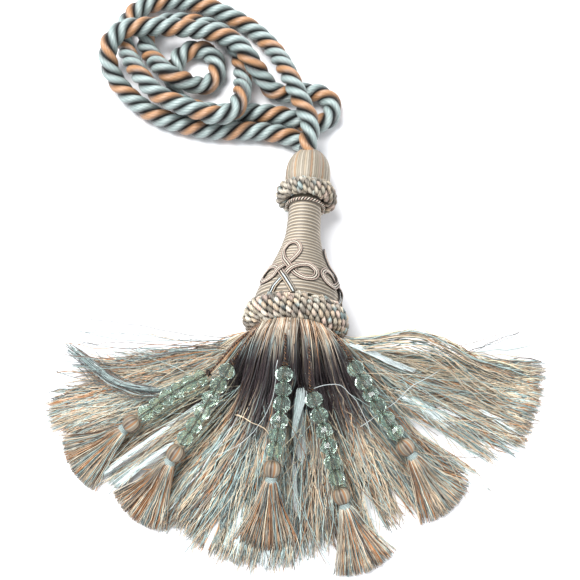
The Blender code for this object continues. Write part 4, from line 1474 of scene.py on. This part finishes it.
# Pale flat locks, the upturned curl, the loose locks at the right, wisps, and long arcs.
LOOSE = (
    GuidedLock(((-46, -62, 15), (-66, -76, 10), (-85, -89, 6), (-103, -102, 3)), 40, FLOSS,
               2.0, 0.5, 0.1, ragged=0.3),
    GuidedLock(((-62, -84, 9), (-78, -94, 6), (-95, -107, 3)), 30, FLOSS, 1.8, 0.9, 0.15),
    GuidedLock(((28, -34, 33), (42, -38, 27.5), (56, -43, 20), (70, -47, 14)), 40, FLOSS,
               2.4, 0.3, 0.15, ragged=0.6),
    GuidedLock(((-25, -114, 6), (-29, -129, 4), (-34, -141, 2)), 34, FLOSS, 2.0, 1.0, 0.2),
    GuidedLock(((-26, -122, 5), (-27, -134, 4), (-29, -145, 2)), 24, FLOSS, 1.6, 1.0, 0.2),
    GuidedLock(((-12, -128, 4), (-12, -140, 3), (-13, -149, 2)), 24, FLOSS, 2.0, 1.0, 0.2),
    GuidedLock(((56, -57, 15), (74, -67, 11), (89, -78, 6)), 44, FLOSS,
               3.6, 1.0, 0.3, ragged=0.6),
    GuidedLock(((103, -66, 5), (116, -73, 3.4), (128, -80, 2)), 12, FLOSS,
               2.4, 1.0, 0.3, ragged=0.6),
    # This wide pale lock lies in the parting at 87.6 degrees as painted light: it stands for the
    # lit table that shows through that gap, which the pile would shade.
    GuidedLock(((5.4, -57, 29), (5.2, -62, 27.5), (3.7, -70, 24), (1.1, -82, 17)), 80, FLOSS,
               6.0, -0.42, 0.1, ragged=0.3),
    GuidedLock(((-46, -48, 14), (-67, -55.4, 12), (-80.4, -54.8, 13), (-95, -51, 11),
                (-107, -42.5, 8.5), (-119, -34, 5), (-126, -29.5, 3)), 36, TRESS,
               1.9, 0.9, 0.5, 0.22),
    GuidedLock(((-46, -50, 12), (-67, -57.5, 11), (-84, -57, 11), (-104, -47, 7),
                (-116, -34, 3)), 20, TRESS, 2.6, 2.0, 0.8, 0.22),
    GuidedLock(((26, -31, 28), (41, -31.5, 29), (66, -27.5, 29), (84, -32.5, 21.5),
                (99, -39, 13), (121, -44, 5), (134, -49, 2)), 14, MIXED, 3.0, 2.2, 0.6),
    GuidedLock(((26, -33, 26), (41, -33.5, 26), (66, -31, 26), (84, -35, 18), (99, -41, 11),
                (118, -45, 4), (132, -47, 1.5)), 18, MIXED, 4.5, 2.2, 0.7),
    GuidedLock(((26, -35, 28), (41, -36, 29), (63, -35, 29), (82, -40, 21), (100, -52, 10),
                (126, -66, 2)), 16, MIXED, 5.0, 2.8, 0.8),
    GuidedLock(((-24, -31, 24), (-55, -31, 16), (-82, -28, 14), (-119, -26, 10)), 4, GREY_WISPS,
               6.0, 3.4, 0.7, 0.22),
    GuidedLock(((-24, -32, 24), (-60, -33, 16), (-93, -34, 12), (-124, -29, 12)), 6, GREY_WISPS,
               6.0, 3.4, 0.7, 0.22),
    GuidedLock(((-24, -33, 22), (-66, -38, 13), (-99, -44, 7), (-131, -44, 6)), 9, GREY_WISPS,
               6.0, 2.4, 0.8, 0.22),
    GuidedLock(((92, -38, 10), (112, -30, 12), (130, -24, 13)), 3, GREY_WISPS,
               1.5, 2.0, 0.5, 0.2),
    GuidedLock(((-6, -42, 52), (-10, -66, 33), (-24, -84, 22), (-44, -93, 15)), 1, FLOSS,
               0.5, 0.5, 0.4, 0.2),
    GuidedLock(((34, -78, 23), (52, -66, 21), (66, -54, 18.5), (84, -44, 14)), 1, FLOSS,
               0.5, 0.5, 0.4, 0.2),
    GuidedLock(((8, -60, 36), (24, -56, 35), (36, -66, 27), (44, -84, 19)), 1, FLOSS,
               0.5, 0.5, 0.5, 0.2),
    GuidedLock(((-30, -70, 24), (-12, -80, 24), (-4, -98, 19)), 2, COOL, 1.5, 1.0, 0.5, 0.2),
)


@dataclass
class LooseLocks:
    """Locks and single threads that stray from the fan."""

    locks: tuple[GuidedLock, ...] = LOOSE
    strays: int = 420
    stray_radius: float = 0.2
    stray_points: int = 15
    # Where the strays lie: direction, distance from the fan's middle, length, and turns.
    stray_angles: tuple[float, float] = (8.0, 172.0)
    stray_starts: tuple[float, float] = (30.0, 80.0)
    stray_lengths: tuple[float, float] = (35.0, 95.0)
    stray_turn: float = 20.0
    stray_swing: float = 34.0
    seed: int = 71

    def build(self) -> None:
        """Make the loose locks and the strays."""
        rng = np.random.default_rng(self.seed)
        mesh = ThreadMesh("loose_locks")
        for lock in self.locks:
            lock.grow(mesh, rng)
        self._stray(mesh, Draw(self.strays, rng))
        dressed(mesh.make(), FRINGE_YARN, "fringe")

    def _stray(self, mesh: ThreadMesh, draw: Draw) -> None:
        """Scatter single threads that cross the others in wide curves.

        Args:
            mesh: What the threads are added to.
            draw: Draws the threads' unevenness.
        """
        share = np.linspace(0.0, 1.0, self.stray_points)[None]
        angle = np.radians(draw.even(*self.stray_angles))
        start = draw.even(*self.stray_starts)
        limit = read(FringeFan.reach, np.degrees(angle)) - start + 4.0
        length = np.minimum(draw.even(*self.stray_lengths), limit)
        turn = angle + np.radians(draw.bell(self.stray_turn))
        turns = turn + np.radians(draw.bell(self.stray_swing)) * (share - 0.4)
        moves = heading(turns)[0] * (length / (self.stray_points - 1))[..., None]
        begin = FAN_CENTRE[:2] + start[..., None] * heading(angle)[0]
        plan = begin + np.cumsum(moves, axis=1) - moves
        distance = np.linalg.norm(plan - FAN_CENTRE[:2], axis=2)
        rise = 0.75 + 0.3 * np.sin(math.pi * share) * draw.even(0.8, 1.1)
        height = read(PILE, distance) * rise + 0.4 + draw.crimp(distance, 0.3)
        mesh.add(np.dstack([plan, np.maximum(height, 0.3)]), self.stray_radius, draw.tints(MIXED))


# ------------------------------------------------ beads and small tassels


class SolidTop:
    """Reads how high a solid reaches near a plan point."""

    def __init__(self, node: str) -> None:
        """Take the solid's points.

        Args:
            node: The solid's node.
        """
        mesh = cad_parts[node].data
        points = np.zeros(len(mesh.vertices) * 3)
        mesh.vertices.foreach_get("co", points)
        self.points = points.reshape(-1, 3) / MM

    def above(self, place: Points, reach: float) -> float:
        """The highest point within reach of a plan point, or of its nearest point."""
        gaps = np.linalg.norm(self.points[:, :2] - place[:2], axis=1)
        return float(self.points[gaps <= max(reach, gaps.min() + 0.01), 2].max())


@dataclass
class BeadString:
    """A thread with a knot and six cut glass beads."""

    number: int
    row: StringRow
    beads: int = 6
    radius: float = 4.5
    facets: int = 8
    bead_turn: float = 0.3
    # Place along half a bead, and the share of the radius there.
    profile: Table = ((0.28, 1.0), (0.75, 0.68))
    hole: float = 1.1
    thread: float = 0.45
    thread_lay: float = 3.2
    thread_reach: float = 0.35
    hump: float = 3.5
    ruff_radius: float = 23.0
    ruff_place: float = -8.4
    knot_steps: int = 44

    def places(self) -> Points:
        """The points between the beads, on the height of the solid string.

        Returns:
            The points, one more than there are beads.
        """
        plan = self.row.line()
        marks = [round((len(plan) - 1) * i / (self.beads + 0.62)) for i in range(self.beads + 1)]
        points = plan[marks]
        top = SolidTop(f"bead_string_{self.number}")
        heights = [top.above(middle, 3.4) - self.radius * 0.96
                   for middle in (points[1:] + points[:-1]) / 2]
        points[:, 2] = np.interp(np.arange(self.beads + 1) - 0.5, np.arange(self.beads), heights)
        return points

    def build(self) -> None:
        """Make the beads and their thread."""
        points = self.places()
        bm = bmesh.new()
        for bead in range(self.beads):
            self._cut_bead(bm, points[bead], points[bead + 1], bead * self.bead_turn)
        mesh = bpy.data.meshes.new(f"glass_beads_{self.number}")
        bmesh.ops.scale(bm, vec=(MM, MM, MM), verts=bm.verts)
        bmesh.ops.recalc_face_normals(bm, faces=bm.faces)
        bm.to_mesh(mesh)
        bm.free()
        dressed(shown(mesh), GlassFinish(), "beads", f"bead_string_{self.number}")
        self._thread(points)

    def _cut_bead(self, bm: bmesh.types.BMesh, start: Points, stop: Points, shift: float) -> None:
        """Add one bead: a barrel with flat lengthwise facets.

        Args:
            bm: What the bead is added to.
            start: Where it starts on the thread.
            stop: Where it ends.
            shift: Its turn on the thread, in facets.
        """
        half = float(np.linalg.norm(stop - start)) / 2
        rows = [(half * place, self.radius * wide) for place, wide in self.profile]
        rows.append((half, self.hole))
        matrix = Vector((stop - start) / (2 * half)).to_track_quat("Z", "Y").to_matrix().to_4x4()
        matrix.translation = Vector((start + stop) / 2)
        rings = []
        for place, wide in [(-place, wide) for place, wide in reversed(rows)] + rows:
            turns = [math.tau * (side + shift) / self.facets for side in range(self.facets)]
            rings.append([bm.verts.new(matrix @ Vector((
                wide * math.cos(turn), wide * math.sin(turn), place))) for turn in turns])
        for pair in zip(rings, rings[1:]):
            edges = [bm.edges.get(ends) or bm.edges.new(ends)
                     for ring in pair for ends in zip(ring, ring[1:] + ring[:1])]
            bmesh.ops.bridge_loops(bm, edges=edges)
        for ring in (rings[0], rings[-1]):
            bm.faces.new(ring)

    def _thread(self, points: Points) -> None:
        """Lead the thread from under the ruff through the beads' ends, with a knot first.

        Args:
            points: The points between the beads.
        """
        root = AXIS.place(math.radians(self.row.ruff), self.ruff_place, self.ruff_radius)
        way = unit(points[1] - points[0])
        hump = root + (points[0] - root) * 0.45 + (0.0, 0.0, self.hump)
        line = curve_through([root, hump, points[0] - way * 1.5, *points], 1.0)
        mesh = ThreadMesh(f"bead_thread_{self.number}")
        frames = carried_frames(line)
        for ply, yarn in enumerate(yarns("COPPER RUST")):
            turn = math.tau * np.arange(len(line)) / self.thread_lay + math.pi * ply
            mesh.twist(line, frames, turn, self.thread_reach, self.thread, yarn.tint,
                       yarn.tint * 0.7, 6)
        self._knot(mesh, points[0] - way * 1.7, way)
        dressed(mesh.make(), FINE_CORD, "neck_cord")

    def _knot(self, mesh: ThreadMesh, middle: Points, way: Points) -> None:
        """Tie the knot: a small cord that runs twice around the thread through itself.

        Args:
            mesh: What the knot is added to.
            middle: Its middle.
            way: The thread's direction.
        """
        turn = math.tau * np.arange(self.knot_steps)[:, None] / self.knot_steps
        side = unit(np.cross(way, UP))
        wide = 1.15 + 0.45 * np.cos(3 * turn)
        path = (middle + side * wide * np.cos(2 * turn)
                + np.cross(side, way) * wide * np.sin(2 * turn) + way * 0.7 * np.sin(3 * turn))
        mesh.add(path[None], 0.5, Yarn.COPPER.tint, Yarn.RUST.tint, 7, way, looped=True)


@dataclass
class MiniTassel:
    """A small tassel at its string's end: a wound ball head, a pale band and a short skirt."""

    number: int
    row: StringRow
    end: Points
    strands: int = 330
    points: int = 9
    tilt: float = math.radians(10.0)
    reach: float = 36.0
    half_spread: float = math.radians(30.0)
    head: Table = (
        (0.0, 0.0), (0.1, 1.6), (0.8, 3.2), (2.2, 4.35), (4.4, 4.75), (6.6, 4.3), (8.0, 3.3),
        (8.6, 2.6))
    # How far along the head is widest, and how far it reaches over its start there.
    head_middle: float = 4.4
    head_rise: float = 4.6
    threads: LaidThreads = LaidThreads(
        30, 3, 0.16, yarns("TAN STONE BEIGE COPPER STONE UMBER"), bare_radius=0.8)
    band: tuple[float, float] = (8.5, 12.2)
    band_radius: float = 2.5
    band_swell: float = 0.25
    band_turns: int = 6
    band_cord: float = 0.42
    # Where the skirt starts along the head, and its width there.
    skirt_root: float = 9.0
    skirt_radius: float = 2.3
    skirt_threads: tuple[float, float] = (0.2, 0.3)
    crimp: float = 0.28
    ragged: float = 2.2

    def build(self) -> None:
        """Make the tassel."""
        flat, left = (np.array((*way, 0.0)) for way in heading(math.radians(self.row.skirt)))
        to_head = shifted((*self.row.head, 0.0)) - self.end
        to_head[2] = 0.0
        out = unit(flat * 0.75 + unit(to_head) * 0.25)
        along = unit(out * math.cos(self.tilt) - UP * math.sin(self.tilt))
        start = self.end + unit(to_head) * 0.9
        top = SolidTop(f"mini_tassel_{self.number}")
        sunk = self.head_middle * math.sin(self.tilt)
        start[2] = top.above(start + along * self.head_middle, 3.0) - self.head_rise + sunk
        side = unit(np.cross(along, UP))
        matrix = frame_matrix(Vector(side), Vector(along), start)
        outline = [self.head[0], *rounded(self.head[1:], 0.6), (self.head[-1][0], 0.0)]
        dressed(self.threads.cover(f"mini_head_{self.number}", outline, matrix), WOUND_YARN,
                "small_tassels", f"mini_tassel_{self.number}")
        self._band(matrix)
        self._skirt(start, along, side, flat, left, top)

    def _band(self, matrix: Matrix) -> None:
        """Wind the neck band, in the tassel's frame.

        Args:
            matrix: The tassel's frame.
        """
        low, high = self.band
        share = np.linspace(0.0, 1.0, self.band_turns * 20)
        angle = math.tau * self.band_turns * share
        wide = self.band_radius - self.band_swell * np.cos(math.tau * share)
        spokes = np.column_stack([wide * np.sin(angle), 0.0 * share, wide * np.cos(angle)])
        local = spokes + np.column_stack([0.0 * share, low + (high - low) * share, 0.0 * share])
        grid = np.array(matrix)
        tint = Yarn.PALE_BLUE.tint
        mesh = ThreadMesh(f"mini_band_{self.number}")
        mesh.add((local @ grid[:3, :3].T + grid[:3, 3])[None], self.band_cord, tint * 1.2, tint, 6,
                 spokes @ grid[:3, :3].T)
        dressed(mesh.make(), FINE_CORD, "small_tassels")

    def _skirt(self, start: Points, along: Points, side: Points, flat: Points, left: Points,
               top: SolidTop) -> None:
        """Spread the short skirt over the fringe.

        Args:
            start: The head's top.
            along: The head's direction.
            side: The direction across the head.
            flat: The skirt's direction on the plan.
            left: The plan direction to its left.
            top: Reads the solid's height.
        """
        draw = Draw(self.strands, np.random.default_rng(100 + self.number))
        turn = draw.even(0.0, math.tau)
        wide = np.sqrt(draw.even(0.0, 1.0))
        spoke = wide * (np.cos(turn) * side + np.sin(turn) * np.cross(side, along))
        root = start + along * self.skirt_root + self.skirt_radius * spoke
        neck = root + along * 4.5 + 2.8 * spoke
        level = np.clip(0.5 + 0.5 * wide * np.sin(turn) + draw.bell(0.12), 0.0, 1.0)
        swing = self.half_spread * np.clip(wide * np.cos(turn) + draw.bell(0.16), -1.0, 1.0)
        way = flat * np.cos(swing) - left * np.sin(swing)
        hub = start + along * 9.8
        middle = hub + way * 15.0
        middle[:, 2:] = top.above(hub + flat * 14.0, 4.0) - 4.6 + level * 4.4
        tip = hub + way * (self.reach - draw.trailing(self.ragged))
        tip[:, 2:] = np.maximum(top.above(hub + flat * 35.0, 6.0) - 1.2 + level * 2.0, 0.4)
        share = np.linspace(0.0, 1.0, self.points)
        weights = [np.interp(share, (0.0, 0.13, 0.45, 1.0), part) for part in np.eye(4)]
        path = np.einsum("kp,ksa->spa", weights, [root, neck, middle, tip])
        path[:, 1:-1] = (path[:, :-2] + 2 * path[:, 1:-1] + path[:, 2:]) / 4
        wander = draw.crimp(share[None] * 38.0, self.crimp) * smooth((share - 0.2) / 0.4)
        mesh = ThreadMesh(f"mini_skirt_{self.number}")
        mesh.add(path - left * wander[..., None], draw.even(*self.skirt_threads),
                 draw.tints(SKIRT))
        dressed(mesh.make(), FRINGE_YARN, "small_tassels")


# ------------------------------------------------ the whole tieback


def main() -> None:
    """Build every piece of the tieback around its solids."""
    logging.basicConfig(level=logging.INFO, format="%(name)s: %(message)s")
    studio = Studio()
    studio.set_camera()
    TiebackRope().build()
    studio.set_floor()
    studio.set_lights()
    wrap = CordWrap()
    wrap.build()
    WoundHead().build()
    for ruff in RUFFS:
        ruff.build()
    NeckCord().build()
    Scrolls(wrap).build()
    FringeFan().build()
    LooseLocks().build()
    for number, row in enumerate(STRINGS, start=1):
        string = BeadString(number, row)
        string.build()
        MiniTassel(number, row, string.places()[-1]).build()


if __name__ == "__main__":
    main()
